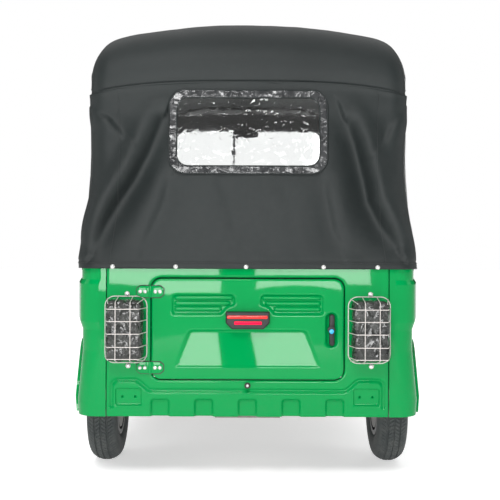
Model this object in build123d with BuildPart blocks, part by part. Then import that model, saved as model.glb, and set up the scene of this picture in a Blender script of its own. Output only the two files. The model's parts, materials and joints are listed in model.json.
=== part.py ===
from build123d import *
from math import cos, radians, sin, sqrt, tan
import os

os.makedirs("parts", exist_ok=True)

# Auto rickshaw, in millimetres.
# +Y is the way it drives, +X its right side, +Z up. It stands on z = 0.

# Wheels
wheelbase = 2000
track = 1124
tyre_radius = 212
tyre_width = 118
bead_radius = 101
rim_flange_height = 11
rim_wall = 7
wheel_disc_thickness = 7
drum_radius = 80
drum_depth = 46
hub_cap_radius = 28
hub_cap_depth = 22
disc_offset = 8
bead_inset = 13
rim_flange_width = 5
spindle_radius = 16
running_clearance = 0.06
moving_clearance = 6

# Distances behind the rear axle
rear_panel_back = 400
guard_depth = 90

# Front end: the steering axis leans back by the rake and meets the floor the trail ahead of the wheel
rake = 24
trail = 33
crown_z = 440
fork_leg_x = 105
fork_radius = 18
fork_bend = 36
fork_knee_z = 250
fork_boss_radius = 26
fork_stay_radius = 12
stub_radius = 11
stub_reach = 15
brake_plate_rim = 4
mudguard_radius = 240
mudguard_half_width = 75
mudguard_skirt = 48
mudguard_wall = 4
mudguard_drop = 45

rear_axle_y = (rear_panel_back + guard_depth - wheelbase - mudguard_radius) / 2
front_axle_y = rear_axle_y + wheelbase
rear_y = rear_axle_y - rear_panel_back
half_track = track / 2

# Sheet and seams
skin = 6
door_gap = 5
seat_gap = 0.3

# Rear tub. Columns: height, rear corner half width, side half width, front edge behind the doorway
taper_y = rear_y + 275
corner_radius = 80
taper_radius = 300
valance_z = 247
rail_z = 800
tub_levels = [
    (valance_z, 604, 662, -480),
    (300, 606, 668, -480),
    (480, 590, 646, -500),
    (556, 590, 646, -540),
    (586, 599, 660, -560),
    (722, 599, 660, -640),
    (738, 592, 650, -650),
    (rail_z, 592, 650, -690),
]
seam_x = 509
arch_radius = 275
arch_lip = 24
arch_lip_proud = 7
arch_lip_depth = 14
housing_wall = 4
housing_inner_x = 462
housing_foot_z = 330

# Engine door in the rear panel
door_half_width = 344
door_bottom_z = 383
door_top_z = 742
door_corner = 34
door_proud = 8
door_return = 16
hinge_heights = (424, 696)
hinge_plate_half_length = 48
hinge_plate_height = 43
hinge_plate_thickness = 3
hinge_plate_taper = 14
hinge_barrel_radius = 6
vent_half_gap = 45
vent_width = 226
vent_bottom_z = 611
vent_top_z = 689
vent_cut = 46
vent_recess = 4
slot_height = 9
slot_rows = 3
slot_first = 0.6
plate_top_z = 562
plate_bottom_z = 423
plate_top_half = 212
plate_bottom_half = 265
plate_recess_top = 12
plate_recess_bottom = 1
plate_recess_draft = 14
brake_lamp_half_width = 78
brake_lamp_bottom_z = 564
brake_lamp_top_z = 626
brake_lamp_depth = 26
latch_x = 300
latch_z = 560
latch_length = 128
latch_width = 44
latch_depth = 9

# Pressed forms of the rear panel
swage_z = 341
swage_height = 13
swage_half_length = 345
emboss = 4
pad_pitch = 157
pad_width = 70
pad_top_z = 314
seat_width = 95
seat_height = 64
seat_x = 427
reflector_z = 318
reflector_hole_radius = 3
reflector_hole_spacing = 46
stud_radius = 10
stud_z = 360

# Tail lamps and their wire guards
lamp_x = 436
lamp_z = 560
lamp_width = 118
lamp_height = 196
lamp_depth = 62
guard_base_width = 150
guard_base_height = 224
guard_face_width = 112
guard_face_height = 190
guard_wire_radius = 2
guard_frame_radius = 2.5
guard_bars_up = 2
guard_bars_across = 4

# Hood. Columns: height, lean forward, rear corner half width, side half width, front edge
fabric = 5
hem_z = 778
hood_top_z = 1475
hood_corner_radius = 70
hood_seam_x = 500
hood_levels = [
    (hem_z, -8, 600, 658, -700),
    (1150, 22, 563, 612, -620),
    (1387, 38, 577, 604, -560),
    (hood_top_z, 44, 571, 592, -520),
]
# Roof. Columns: station along Y, half width, eave, knee, shoulder half width, shoulder height, crown
roof_stations = [
    (648, 496, 1552, 1600, 440, 1632, 1652),
    (-150, 566, 1500, 1545, 482, 1648, 1692),
    (-1085, 592, hood_top_z + seat_gap, 1534, 500, 1655, 1704),
    (-1231, 572, hood_top_z + seat_gap, 1500, 470, 1585, 1612),
]
window_half_width = 288
window_bottom_z = 1117
window_top_z = 1425
window_corner = 58
film = 2

# Hood frame tubes
tube_radius = 11
bow_radius = 8
roof_rail_stations = [(470, 560, 1525), (545, -150, 1500), (548, -1200, 1452)]
bow_stations = (200, -280, -760)
bow_rise = 70
centre_post_y = -20
centre_post_foot_x = 590
rear_post_foot_x = 540

# Floor and chassis
floor_z = 330
floor_thickness = 8
floor_half_width = 610
sill_height = 70
sill_width = 34
toe_board_y = 850
toe_board_half = 470
floor_taper_y = 380
well_roof_z = 500
rail_x = 330
rail_width = 50
rail_height = 60
chassis_rear_gap = 25
head_tube_radius = 30
head_tube_high_z = 760
head_tube_foot = (70, 60, 26)
brace_foot_x = 150
brace_foot_half = 30
brace_radius = 14
column_radius = 20
column_top_z = 1100
column_hole_gap = 22

# Front cowl. Columns: height, half width, where the nose starts to curve, foremost point
cowl_levels = [
    (322, 512, 835, 1085),
    (500, 530, 830, 1112),
    (720, 556, 815, 1120),
    (1000, 586, 770, 935),
]
cowl_back_y = 600
headlamp_x = 330
headlamp_z = 770
headlamp_radius = 78
headlamp_length = 120
headlamp_proud = 16
indicator_x = 462
indicator_z = 850
indicator_radius = 30
indicator_proud = 12
indicator_length = 60

# Dashboard
dash_half = 560
dash_y = 790
dash_depth = 40
dash_low_z = 905

# Windscreen
screen_rake = 24
screen_base_z = 1000
screen_top_z = 1610
screen_base_half = 575
screen_top_half = 478
screen_thickness = 28
glass_thickness = 5
screen_bow = 130
screen_border = 72
screen_corner = 70
screen_frame_corner = 30
screen_crown = 32
glass_crown = 8
mirror_z = 1520
mirror_left_x = -88
mirror_right_x = 60
mirror_height = 40
mirror_thickness = 16
mirror_stem_radius = 7

# Seats
firewall_y = rear_axle_y + 71
bench_half_width = 575
bench_base_half = 452
bench_front_y = -350
bench_base_z = 590
bench_thickness = 110
bench_back_height = 420
bench_back_thickness = 95
bench_back_lean = 12
driver_seat_half = 250
seat_overhang = 20
driver_seat_back_y = -10
driver_seat_front_y = 330
driver_base_z = 600
driver_cushion_thickness = 90
driver_back_bottom_z = 760
driver_back_height = 290
driver_back_thickness = 60
partition_y = -62
partition_half_width = 520
partition_z = 1090

# Engine and rear suspension
engine_half_width = 200
engine_front_y = rear_axle_y - 70
engine_rear_y = rear_axle_y - 285
engine_bottom_z = 250
engine_top_z = 520
engine_lug_radius = 16
engine_lug_inset = 50
gearbox_half_width = 130
gearbox_bottom_z = 178
gearbox_top_z = 312
gearbox_front_y = rear_axle_y + 90
silencer_radius = 42
arm_pivot_y = rear_axle_y + 340
arm_pivot_z = 250
arm_radius = 22
arm_pivot_x = 425
bearing_length = 44
bearing_radius = 36
shock_setback = 35
shock_x = 412
shock_radius = 32
shock_top_z = 545

steer_ground_y = front_axle_y + trail


def steering_axis_point(height):
    return (0, steer_ground_y - height * tan(radians(rake)), height)


def block(x_range, y_range, z_range, mode=Mode.ADD):
    with BuildSketch(Plane.XY.offset(z_range[0])) as outline:
        with Locations(((x_range[0] + x_range[1]) / 2, (y_range[0] + y_range[1]) / 2)):
            Rectangle(x_range[1] - x_range[0], y_range[1] - y_range[0])
    extrude(outline.sketch, amount=z_range[1] - z_range[0], mode=mode)


def rod(start, end, radius, mode=Mode.ADD):
    run = Vector(end) - Vector(start)
    with BuildSketch(Plane(origin=start, z_dir=run)) as outline:
        Circle(radius)
    extrude(outline.sketch, amount=run.length, mode=mode)


def bent_tube(points, bend_radius, radius):
    with BuildLine() as path:
        FilletPolyline(*points, radius=bend_radius)
    with BuildSketch(Plane(origin=path.line @ 0, z_dir=path.line % 0)) as outline:
        Circle(radius)
    sweep(outline.sketch, path=path.line)


def rear_face_plane(depth=0):
    # A plane parallel to the rear panel: local x is +X, local y is +Z, and its normal points back
    return Plane(origin=(0, rear_y - depth, 0), x_dir=(1, 0, 0), z_dir=(0, -1, 0))


def wheel_plane(x, y):
    # Local x runs along the axle, local y up from the axle's centre line
    return Plane(origin=(x, y, tyre_radius), x_dir=(1, 0, 0), z_dir=(0, -1, 0))


def finish_part(builder, name):
    builder.part.label = name
    export_step(builder.part, f"parts/{name}.step")


def plan_ring(level, lean, corner_half, side_half, front, inset, bend, open_front):
    # One level of a shell that wraps the rear: both sides, two tapered corners and the back
    side = side_half - inset
    corner = corner_half - inset
    back = rear_y + lean + inset
    with BuildSketch(Plane.XY.offset(level)) as ring:
        with BuildLine():
            FilletPolyline(
                (-side, front + open_front),
                (-side, taper_y),
                (-corner, back),
                (corner, back),
                (side, taper_y),
                (side, front + open_front),
                radius=[0, taper_radius - inset, bend - inset, bend - inset, taper_radius - inset, 0],
                close=True,
            )
        make_face()
    return ring.sketch


def tub_body(inset, open_front=0, mode=Mode.ADD):
    # The tub as one mass, with its sides and back moved in by the inset
    rings = [plan_ring(z, 0, c, s, y, inset, corner_radius, open_front) for z, c, s, y in tub_levels]
    loft(rings, ruled=True, mode=mode)


# The tub is lofted once as a wall of even thickness, then cut at its seams
with BuildPart() as tub_wall:
    tub_body(0)
    tub_body(skin, skin * 4, Mode.SUBTRACT)

# Lips around the wheel arches follow the tub inside and out
with BuildPart() as arch_lips:
    with BuildSketch(Plane.YZ.offset(-2 * seam_x)):
        with Locations((rear_axle_y, tyre_radius)):
            Circle(arch_radius + arch_lip)
    extrude(amount=4 * seam_x)
    tub_body(-arch_lip_proud, mode=Mode.INTERSECT)
    tub_body(skin + arch_lip_depth, skin * 4, Mode.SUBTRACT)

# Hinges: half of each lozenge plate is riveted to the door and half to the rear panel
hinge_x = -(door_half_width + door_gap)
hinge_y = rear_y - door_proud - hinge_plate_thickness / 2


def hinge_halves(sign, back_depth):
    # sign is +1 for the halves on the door, with the upper knuckles, and -1 for those on the panel
    tip = hinge_plate_half_length
    start = hinge_barrel_radius - 1
    half = hinge_plate_height / 2
    for height in hinge_heights:
        with BuildSketch(rear_face_plane(back_depth)) as plate:
            with BuildLine():
                Polyline(
                    (hinge_x + sign * start, height - half),
                    (hinge_x + sign * (tip - hinge_plate_taper), height - half),
                    (hinge_x + sign * tip, height),
                    (hinge_x + sign * (tip - hinge_plate_taper), height + half),
                    (hinge_x + sign * start, height + half),
                    close=True,
                )
            make_face()
        extrude(plate.sketch, amount=door_proud + hinge_plate_thickness - back_depth)
        reach = 2 * hinge_barrel_radius
        block(
            (hinge_x - reach, hinge_x + reach),
            (hinge_y - reach, rear_y - back_depth),
            (height - half - 1, height) if sign > 0 else (height, height + half + 1),
            mode=Mode.SUBTRACT,
        )
        ends = (height + seat_gap, height + half) if sign > 0 else (height - half, height - seat_gap)
        rod((hinge_x, hinge_y, ends[0]), (hinge_x, hinge_y, ends[1]), hinge_barrel_radius)


# Rear panel with the door opening, swage, pads, reflector seats and its hinge halves
with BuildPart() as rear_panel:
    add(tub_wall.part)
    split(bisect_by=Plane.YZ.offset(seam_x), keep=Keep.BOTTOM)
    split(bisect_by=Plane.YZ.offset(-seam_x), keep=Keep.TOP)
    opening_half = door_half_width + door_gap
    with BuildSketch(rear_face_plane(skin)):
        with Locations((0, (door_bottom_z + door_top_z) / 2)):
            RectangleRounded(
                2 * opening_half,
                door_top_z - door_bottom_z + 2 * door_gap,
                door_corner + door_gap,
            )
    extrude(amount=-skin * 3, mode=Mode.SUBTRACT)
    # Long swage that steps up over the reflector seats
    with BuildSketch(rear_face_plane()):
        with Locations((0, swage_z)):
            SlotOverall(2 * swage_half_length, swage_height)
        with Locations((-seat_x, reflector_z), (seat_x, reflector_z)):
            RectangleRounded(seat_width, seat_height, 8)
        with Locations(*[((i - 2) * pad_pitch, (valance_z + pad_top_z) / 2) for i in range(5)]):
            RectangleRounded(pad_width, pad_top_z - valance_z, 8)
        with Locations((0, stud_z)):
            Circle(stud_radius)
    extrude(amount=emboss)
    holes = [
        (side * seat_x + end * reflector_hole_spacing / 2, reflector_z) for side in (-1, 1) for end in (-1, 1)
    ]
    with BuildSketch(rear_face_plane(emboss)):
        with Locations(*holes):
            Circle(reflector_hole_radius)
    extrude(amount=-emboss - skin, mode=Mode.SUBTRACT)
    hinge_halves(-1, 0)
finish_part(rear_panel, "rear_panel")

sides = (("left", -1), ("right", 1))

# Quarter panels with their wheel arches and lips
for side, sign in sides:
    with BuildPart() as quarter_panel:
        add(tub_wall.part)
        add(arch_lips.part)
        split(bisect_by=Plane.YZ.offset(sign * seam_x), keep=Keep.TOP if sign > 0 else Keep.BOTTOM)
        with BuildSketch(Plane.YZ.offset(sign * seam_x)):
            with Locations((rear_axle_y, tyre_radius)):
                Circle(arch_radius)
        extrude(amount=sign * 200, mode=Mode.SUBTRACT)
    finish_part(quarter_panel, f"quarter_panel_{side}")

# Inner wheel housings, seated on the arch lips
with BuildPart() as wheel_housings:
    for side, sign in sides:
        with BuildSketch(Plane.YZ.offset(sign * housing_inner_x)):
            with Locations((rear_axle_y, tyre_radius)):
                Circle(arch_radius + housing_wall)
            with Locations((rear_axle_y, housing_foot_z - arch_radius)):
                Rectangle(4 * arch_radius, 2 * arch_radius, mode=Mode.SUBTRACT)
        extrude(amount=sign * (tub_levels[0][2] - housing_inner_x))
        with BuildSketch(Plane.YZ.offset(sign * (housing_inner_x + housing_wall))):
            with Locations((rear_axle_y, tyre_radius)):
                Circle(arch_radius)
        extrude(amount=sign * 400, mode=Mode.SUBTRACT)
    tub_body(skin + arch_lip_depth + seat_gap, mode=Mode.INTERSECT)
finish_part(wheel_housings, "wheel_housings")


def vent_outline(sign):
    # A vent panel with its lower inner corner cut off
    inner = sign * vent_half_gap
    outer = sign * (vent_half_gap + vent_width)
    with BuildLine() as outline:
        Polyline(
            (inner, vent_top_z),
            (outer, vent_top_z),
            (outer, vent_bottom_z),
            (inner + sign * vent_cut, vent_bottom_z),
            (inner, vent_bottom_z + vent_cut * 0.62),
            close=True,
        )
    make_face(outline.edges())


def plate_wedge(wall):
    # The space of the plate recess, whose floor leans back and whose sides are drafted; a wall grows it
    lean = (plate_recess_top - plate_recess_bottom) / (plate_top_z - plate_bottom_z)
    floor_origin = (0, rear_y - door_proud + plate_recess_bottom + wall, plate_bottom_z)
    with BuildPart() as wedge:
        with BuildSketch(rear_face_plane(door_proud)):
            with BuildLine():
                Polyline(
                    (-plate_top_half - wall, plate_top_z + wall),
                    (plate_top_half + wall, plate_top_z + wall),
                    (plate_bottom_half + wall, plate_bottom_z - wall),
                    (-plate_bottom_half - wall, plate_bottom_z - wall),
                    close=True,
                )
            make_face()
        extrude(amount=-2 * plate_recess_top - wall, taper=plate_recess_draft)
        split(bisect_by=Plane(origin=floor_origin, z_dir=(0, -1, lean)), keep=Keep.TOP)
    return wedge.part


# Engine door: a pressed sheet with return flanges, vents and the plate recess
with BuildPart() as engine_door:
    door_height = door_top_z - door_bottom_z
    door_mid_z = (door_top_z + door_bottom_z) / 2
    with BuildSketch(rear_face_plane(door_proud)):
        with Locations((0, door_mid_z)):
            RectangleRounded(2 * door_half_width, door_height, door_corner)
    extrude(amount=-door_return)
    fillet(engine_door.faces().sort_by(Axis.Y)[0].edges(), 4)
    with BuildSketch(rear_face_plane(door_proud - door_return)):
        with Locations((0, door_mid_z)):
            RectangleRounded(2 * (door_half_width - skin), door_height - 2 * skin, door_corner - skin)
    extrude(amount=door_return - skin, mode=Mode.SUBTRACT)
    # The plate recess is pushed in, more at its top, so its back stands inside the door
    add(plate_wedge(skin))
    add(plate_wedge(0), mode=Mode.SUBTRACT)
    for sign in (-1, 1):
        with BuildSketch(rear_face_plane(door_proud)):
            vent_outline(sign)
        extrude(amount=-vent_recess, mode=Mode.SUBTRACT)
    # Slots between the pressed ribs of each vent
    for sign in (-1, 1):
        with BuildSketch(rear_face_plane(door_proud)):
            for row in range(slot_rows):
                slot_z = vent_top_z - (row + slot_first) * (vent_top_z - vent_bottom_z) / slot_rows
                slot_length = vent_width - vent_cut * 1.5
                with Locations((sign * (vent_half_gap + vent_cut + slot_length / 2), slot_z)):
                    SlotOverall(slot_length, slot_height)
        extrude(amount=-skin * 2, mode=Mode.SUBTRACT)
    hinge_halves(1, door_proud)
finish_part(engine_door, "engine_door")

# Brake lamp on the door, above the plate recess
with BuildPart() as brake_lamp:
    with BuildSketch(rear_face_plane(door_proud)):
        with BuildLine():
            chamfer_run = 22
            Polyline(
                (-brake_lamp_half_width, brake_lamp_top_z),
                (brake_lamp_half_width, brake_lamp_top_z),
                (brake_lamp_half_width, brake_lamp_bottom_z + chamfer_run),
                (brake_lamp_half_width - chamfer_run, brake_lamp_bottom_z),
                (-brake_lamp_half_width + chamfer_run, brake_lamp_bottom_z),
                (-brake_lamp_half_width, brake_lamp_bottom_z + chamfer_run),
                close=True,
            )
        make_face()
    extrude(amount=brake_lamp_depth)
    fillet(brake_lamp.faces().sort_by(Axis.Y)[0].edges(), 5)
finish_part(brake_lamp, "brake_lamp")

# Door latch: an oval plate with a pull bar
with BuildPart() as door_latch:
    with BuildSketch(rear_face_plane(door_proud)):
        with Locations((latch_x, latch_z)):
            SlotOverall(latch_length, latch_width, rotation=90)
    extrude(amount=latch_depth / 3)
    with BuildSketch(rear_face_plane(door_proud + latch_depth / 3)):
        with Locations((latch_x, latch_z)):
            SlotOverall(latch_length * 0.86, latch_width * 0.5, rotation=90)
    extrude(amount=latch_depth * 2 / 3)
finish_part(door_latch, "door_latch")

# Tail lamps and their wire guards
with BuildPart() as tail_lamps:
    with BuildSketch(rear_face_plane()):
        with Locations((-lamp_x, lamp_z), (lamp_x, lamp_z)):
            RectangleRounded(lamp_width, lamp_height, 18)
    extrude(amount=lamp_depth)
    fillet(tail_lamps.faces().filter_by(Axis.Y).group_by(Axis.Y)[0].edges(), 14)
finish_part(tail_lamps, "tail_lamps")

with BuildPart() as lamp_guards:
    wire = guard_wire_radius
    face_y = rear_y - guard_depth + guard_frame_radius * 1.1
    foot_y = rear_y - guard_frame_radius * 1.1
    grow_x = (guard_base_width - guard_face_width) / 2
    grow_z = (guard_base_height - guard_face_height) / 2
    for side, sign in sides:
        x0, x1 = sign * lamp_x - guard_face_width / 2, sign * lamp_x + guard_face_width / 2
        z0, z1 = lamp_z - guard_face_height / 2, lamp_z + guard_face_height / 2
        base_loop = [
            (x0 - grow_x, foot_y, z0 - grow_z),
            (x1 + grow_x, foot_y, z0 - grow_z),
            (x1 + grow_x, foot_y, z1 + grow_z),
            (x0 - grow_x, foot_y, z1 + grow_z),
        ]
        face_loop = [(x0, face_y, z0), (x1, face_y, z0), (x1, face_y, z1), (x0, face_y, z1)]
        for loop in (base_loop, face_loop):
            for i in range(4):
                rod(loop[i], loop[(i + 1) % 4], guard_frame_radius)
            with Locations(*loop):
                Sphere(guard_frame_radius * 1.1)
        for start, end in zip(base_loop, face_loop):
            rod(start, end, wire)
        for i in range(guard_bars_up):
            x = x0 + (i + 1) * (x1 - x0) / (guard_bars_up + 1)
            rod((x, face_y, z0), (x, face_y, z1), wire)
            rod((x, face_y, z1), (x, foot_y, z1 + grow_z), wire)
            rod((x, face_y, z0), (x, foot_y, z0 - grow_z), wire)
        for i in range(guard_bars_across):
            z = z0 + (i + 1) * (z1 - z0) / (guard_bars_across + 1)
            rod((x0, face_y, z), (x1, face_y, z), wire)
            rod((x0, face_y, z), (x0 - grow_x, foot_y, z), wire)
            rod((x1, face_y, z), (x1 + grow_x, foot_y, z), wire)
finish_part(lamp_guards, "lamp_guards")

# Hood walls: one lofted skin around the back and sides, cut at the seams
with BuildPart() as hood_wall:
    loft([plan_ring(*level, 0, hood_corner_radius, 0) for level in hood_levels], ruled=True)
    loft(
        [plan_ring(*level, fabric, hood_corner_radius, fabric * 4) for level in hood_levels],
        ruled=True,
        mode=Mode.SUBTRACT,
    )

with BuildPart() as canopy_rear:
    add(hood_wall.part)
    split(bisect_by=Plane.YZ.offset(hood_seam_x), keep=Keep.BOTTOM)
    split(bisect_by=Plane.YZ.offset(-hood_seam_x), keep=Keep.TOP)
    with BuildSketch(rear_face_plane(40)):
        with Locations((0, (window_bottom_z + window_top_z) / 2)):
            RectangleRounded(2 * window_half_width, window_top_z - window_bottom_z, window_corner)
    extrude(amount=-160, mode=Mode.SUBTRACT)
finish_part(canopy_rear, "canopy_rear")

with BuildPart() as canopy_sides:
    add(hood_wall.part)
    block((-hood_seam_x, hood_seam_x), (rear_y - 100, 0), (0, rail_z * 3), mode=Mode.SUBTRACT)
finish_part(canopy_sides, "canopy_sides")

# Clear film of the rear window, welded into the hood's cut-out
lean_slope = (hood_levels[2][1] - hood_levels[1][1]) / (hood_levels[2][0] - hood_levels[1][0])
with BuildPart() as rear_window:
    film_origin = (0, rear_y + hood_levels[1][1] + fabric / 2, hood_levels[1][0])
    film_plane = Plane(origin=film_origin, x_dir=(1, 0, 0), z_dir=(0, -1, lean_slope))
    with BuildSketch(film_plane):
        height = window_top_z - window_bottom_z
        with Locations((0, (window_bottom_z + window_top_z) / 2 - hood_levels[1][0])):
            RectangleRounded(
                2 * window_half_width - 2 * seat_gap,
                height - 2 * seat_gap,
                window_corner - seat_gap,
            )
    extrude(amount=film / 2, both=True)
finish_part(rear_window, "rear_window")


def roof_arch(station, half, eave, knee, shoulder_x, shoulder_z, crown):
    # One closed section of the roof skin: up one side, over the crown and down the other, and back inside
    t = fabric
    with BuildSketch(Plane(origin=(0, station, 0), x_dir=(1, 0, 0), z_dir=(0, -1, 0))) as arch:
        with BuildLine():
            Polyline((-half, eave), (-half, knee), (-shoulder_x, shoulder_z))
            ThreePointArc((-shoulder_x, shoulder_z), (0, crown), (shoulder_x, shoulder_z))
            Polyline((shoulder_x, shoulder_z), (half, knee), (half, eave), (half - t, eave))
            Polyline((half - t, eave), (half - t, knee - t / 2), (shoulder_x - t / 2, shoulder_z - t))
            ThreePointArc(
                (shoulder_x - t / 2, shoulder_z - t),
                (0, crown - t),
                (-shoulder_x + t / 2, shoulder_z - t),
            )
            Polyline((-shoulder_x + t / 2, shoulder_z - t), (-half + t, knee - t / 2), (-half + t, eave))
            Line((-half + t, eave), (-half, eave))
        make_face()
    return arch.sketch


# Roof skin with the short end wall that closes it above the crease
with BuildPart() as canopy_roof:
    loft([roof_arch(*station) for station in roof_stations], ruled=True)
    y, half, eave, knee, shoulder_x, shoulder_z, crown = roof_stations[-1]
    inside = fabric / 2
    with BuildSketch(Plane(origin=(0, y, 0), x_dir=(1, 0, 0), z_dir=(0, -1, 0))):
        with BuildLine():
            Polyline(
                (-half + inside, eave),
                (-half + inside, knee),
                (-shoulder_x, shoulder_z - inside),
            )
            ThreePointArc(
                (-shoulder_x, shoulder_z - inside),
                (0, crown - inside),
                (shoulder_x, shoulder_z - inside),
            )
            Polyline(
                (shoulder_x, shoulder_z - inside),
                (half - inside, knee),
                (half - inside, eave),
                (-half + inside, eave),
            )
        make_face()
    extrude(amount=-fabric)
finish_part(canopy_roof, "canopy_roof")

# Hood frame: rails along the eaves, bows across and posts
def rail_at(y):
    # Half width and height of the roof rails' centre line at one station
    for (x0, y0, z0), (x1, y1, z1) in zip(roof_rail_stations, roof_rail_stations[1:]):
        if y1 <= y <= y0:
            share = (y0 - y) / (y0 - y1)
            return x0 + share * (x1 - x0), z0 + share * (z1 - z0)


with BuildPart() as roof_frame:
    for side, sign in sides:
        points = [(sign * x, y, z) for x, y, z in roof_rail_stations]
        bent_tube(points, 1500, tube_radius)
    for y in bow_stations:
        x, z = rail_at(y)
        low = z + tube_radius + bow_radius + seat_gap
        high = low + bow_rise
        points = [(-x, y, low), (-x * 0.5, y, high), (x * 0.5, y, high), (x, y, low)]
        bent_tube(points, 260, bow_radius)
finish_part(roof_frame, "roof_frame")

with BuildPart() as roof_posts:
    for sign in (-1, 1):
        x, z = rail_at(centre_post_y)
        rod(
            (sign * centre_post_foot_x, centre_post_y, floor_z + seat_gap * 3),
            (sign * x, centre_post_y, z - tube_radius - seat_gap * 3),
            tube_radius,
        )
        x, y, z = roof_rail_stations[-1]
        rod(
            (sign * rear_post_foot_x, y - 20, rail_z - skin + seat_gap * 2),
            (sign * rear_post_foot_x, y, z - tube_radius - seat_gap),
            tube_radius,
        )
finish_part(roof_posts, "roof_posts")

# Chassis: two rails, cross members and the towers for the shock absorbers
with BuildPart() as chassis_frame:
    rail_top = floor_z - floor_thickness
    rail_low = rail_top - rail_height
    rail_rear_y = rear_y + skin + chassis_rear_gap
    for sign in (-1, 1):
        inner, outer = sorted((sign * (rail_x - rail_width / 2), sign * (rail_x + rail_width / 2)))
        block((inner, outer), (rail_rear_y, toe_board_y - 60), (rail_low, rail_top))
        # Tower for the top of the shock absorber
        tower = sorted((sign * (rail_x - rail_width / 2), sign * (rail_x + rail_width / 2)))
        block(tower, (rear_axle_y - 60, rear_axle_y - 10), (rail_top, shock_top_z + 20))
        shelf = sorted((sign * rail_x, sign * (shock_x + shock_radius)))
        block(shelf, (rear_axle_y - 70, rear_axle_y), (shock_top_z, shock_top_z + 20))
        pivot = sorted((sign * (rail_x + rail_width / 2), sign * (arm_pivot_x - arm_radius - 3)))
        block(pivot, (arm_pivot_y - 30, arm_pivot_y + 30), (arm_pivot_z - 20, rail_top))
    for y in (gearbox_front_y + 40, arm_pivot_y, 60, toe_board_y - 80):
        block((-rail_x, rail_x), (y - 20, y + 20), (rail_low + 6, rail_top - 6))
finish_part(chassis_frame, "chassis_frame")

# Floor with side sills; it narrows into the front cowl
floor_rear_y = tub_levels[0][3]
with BuildPart() as floor_pan:
    with BuildSketch(Plane.XY.offset(floor_z - floor_thickness)):
        with BuildLine():
            front_half = cowl_levels[0][1] - skin - seat_gap
            corners = [
                (bench_base_half, firewall_y),
                (bench_base_half, floor_rear_y),
                (floor_half_width, floor_rear_y),
                (floor_half_width, floor_taper_y),
                (front_half, cowl_back_y),
                (front_half, cowl_levels[0][2] - 20),
                (toe_board_half, toe_board_y),
            ]
            Polyline(*corners, *[(-x, y) for x, y in reversed(corners)], close=True)
        make_face()
    extrude(amount=floor_thickness)
    for sign in (-1, 1):
        sill = sorted((sign * (floor_half_width - sill_width), sign * floor_half_width))
        block(sill, (floor_rear_y, floor_taper_y), (floor_z - sill_height, floor_z))
finish_part(floor_pan, "floor_pan")


def cowl_ring(level, half, bend_y, nose_y, inset, open_back):
    # One level of the cowl, from its back edge to the nose
    half = half - inset
    back_y = cowl_back_y - open_back
    with BuildSketch(Plane.XY.offset(level)) as ring:
        with BuildLine():
            Polyline((-half, bend_y), (-half, back_y), (half, back_y), (half, bend_y))
            ThreePointArc((half, bend_y), (0, nose_y - inset), (-half, bend_y))
        make_face()
    return ring.sketch


# Front wheel well: toe board and a shelf over the wheel with a hole for the column
with BuildPart() as front_wheel_well:
    shelf_level = (well_roof_z, *cowl_levels[1][1:])
    extrude(cowl_ring(*shelf_level, skin + seat_gap, 0), amount=skin)
    block((-1000, 1000), (0, toe_board_y), (well_roof_z - 1, well_roof_z + skin + 1), mode=Mode.SUBTRACT)
    block(
        (-toe_board_half, toe_board_half),
        (toe_board_y, toe_board_y + skin),
        (floor_z - floor_thickness, well_roof_z + skin),
    )
    rod(
        steering_axis_point(well_roof_z - 60),
        steering_axis_point(well_roof_z + 60),
        column_radius + column_hole_gap,
        mode=Mode.SUBTRACT,
    )
finish_part(front_wheel_well, "front_wheel_well")

# Head tube on its foot plate over the wheel well, braced down to the floor
with BuildPart() as head_tube:
    foot_z = well_roof_z + skin
    foot_half_x, foot_half_y, foot_height = head_tube_foot
    low = steering_axis_point(foot_z + foot_height * 0.8)
    rod(low, steering_axis_point(head_tube_high_z), head_tube_radius)
    block(
        (-foot_half_x, foot_half_x),
        (low[1] - foot_half_y, low[1] + foot_half_y),
        (foot_z, foot_z + foot_height),
    )
    brace_top = steering_axis_point(head_tube_high_z - 2 * head_tube_radius)
    brace_foot_y = toe_board_y - 4 * brace_foot_half
    for sign in (-1, 1):
        rod(brace_top, (sign * brace_foot_x, brace_foot_y, floor_z + skin), brace_radius)
        block(
            (sign * brace_foot_x - brace_foot_half, sign * brace_foot_x + brace_foot_half),
            (brace_foot_y - brace_foot_half, brace_foot_y + brace_foot_half),
            (floor_z, floor_z + skin + 4),
        )
    rod(
        steering_axis_point(foot_z - 60),
        steering_axis_point(head_tube_high_z + 60),
        column_radius + running_clearance,
        mode=Mode.SUBTRACT,
    )
finish_part(head_tube, "head_tube")

# Front cowl with its lamp holes, open below for the wheel
with BuildPart() as front_cowl:
    loft([cowl_ring(*level, 0, 0) for level in cowl_levels])
    loft([cowl_ring(*level, skin, 60) for level in cowl_levels], mode=Mode.SUBTRACT)
    well_half = toe_board_half - 20
    block(
        (-well_half, well_half),
        (toe_board_y + skin, toe_board_y + 400),
        (0, well_roof_z),
        mode=Mode.SUBTRACT,
    )
    lamp_plane = Plane(origin=(0, toe_board_y, 0), x_dir=(-1, 0, 0), z_dir=(0, 1, 0))
    with BuildSketch(lamp_plane):
        with Locations((-headlamp_x, headlamp_z), (headlamp_x, headlamp_z)):
            Circle(headlamp_radius + seat_gap)
        with Locations((-indicator_x, indicator_z), (indicator_x, indicator_z)):
            Circle(indicator_radius + seat_gap)
    extrude(amount=400, mode=Mode.SUBTRACT)
finish_part(front_cowl, "front_cowl")


def nose_at(x, height):
    # Foremost point of the cowl at one side position and height, from its two nearest levels
    for (z0, half0, bend0, nose0), (z1, half1, bend1, nose1) in zip(cowl_levels, cowl_levels[1:]):
        if z0 <= height <= z1:
            share = (height - z0) / (z1 - z0)
            half = half0 + share * (half1 - half0)
            bend_y = bend0 + share * (bend1 - bend0)
            nose_y = nose0 + share * (nose1 - nose0)
            rise = nose_y - bend_y
            bow = (half * half + rise * rise) / (2 * rise)
            return nose_y - bow + sqrt(bow * bow - x * x)


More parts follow.
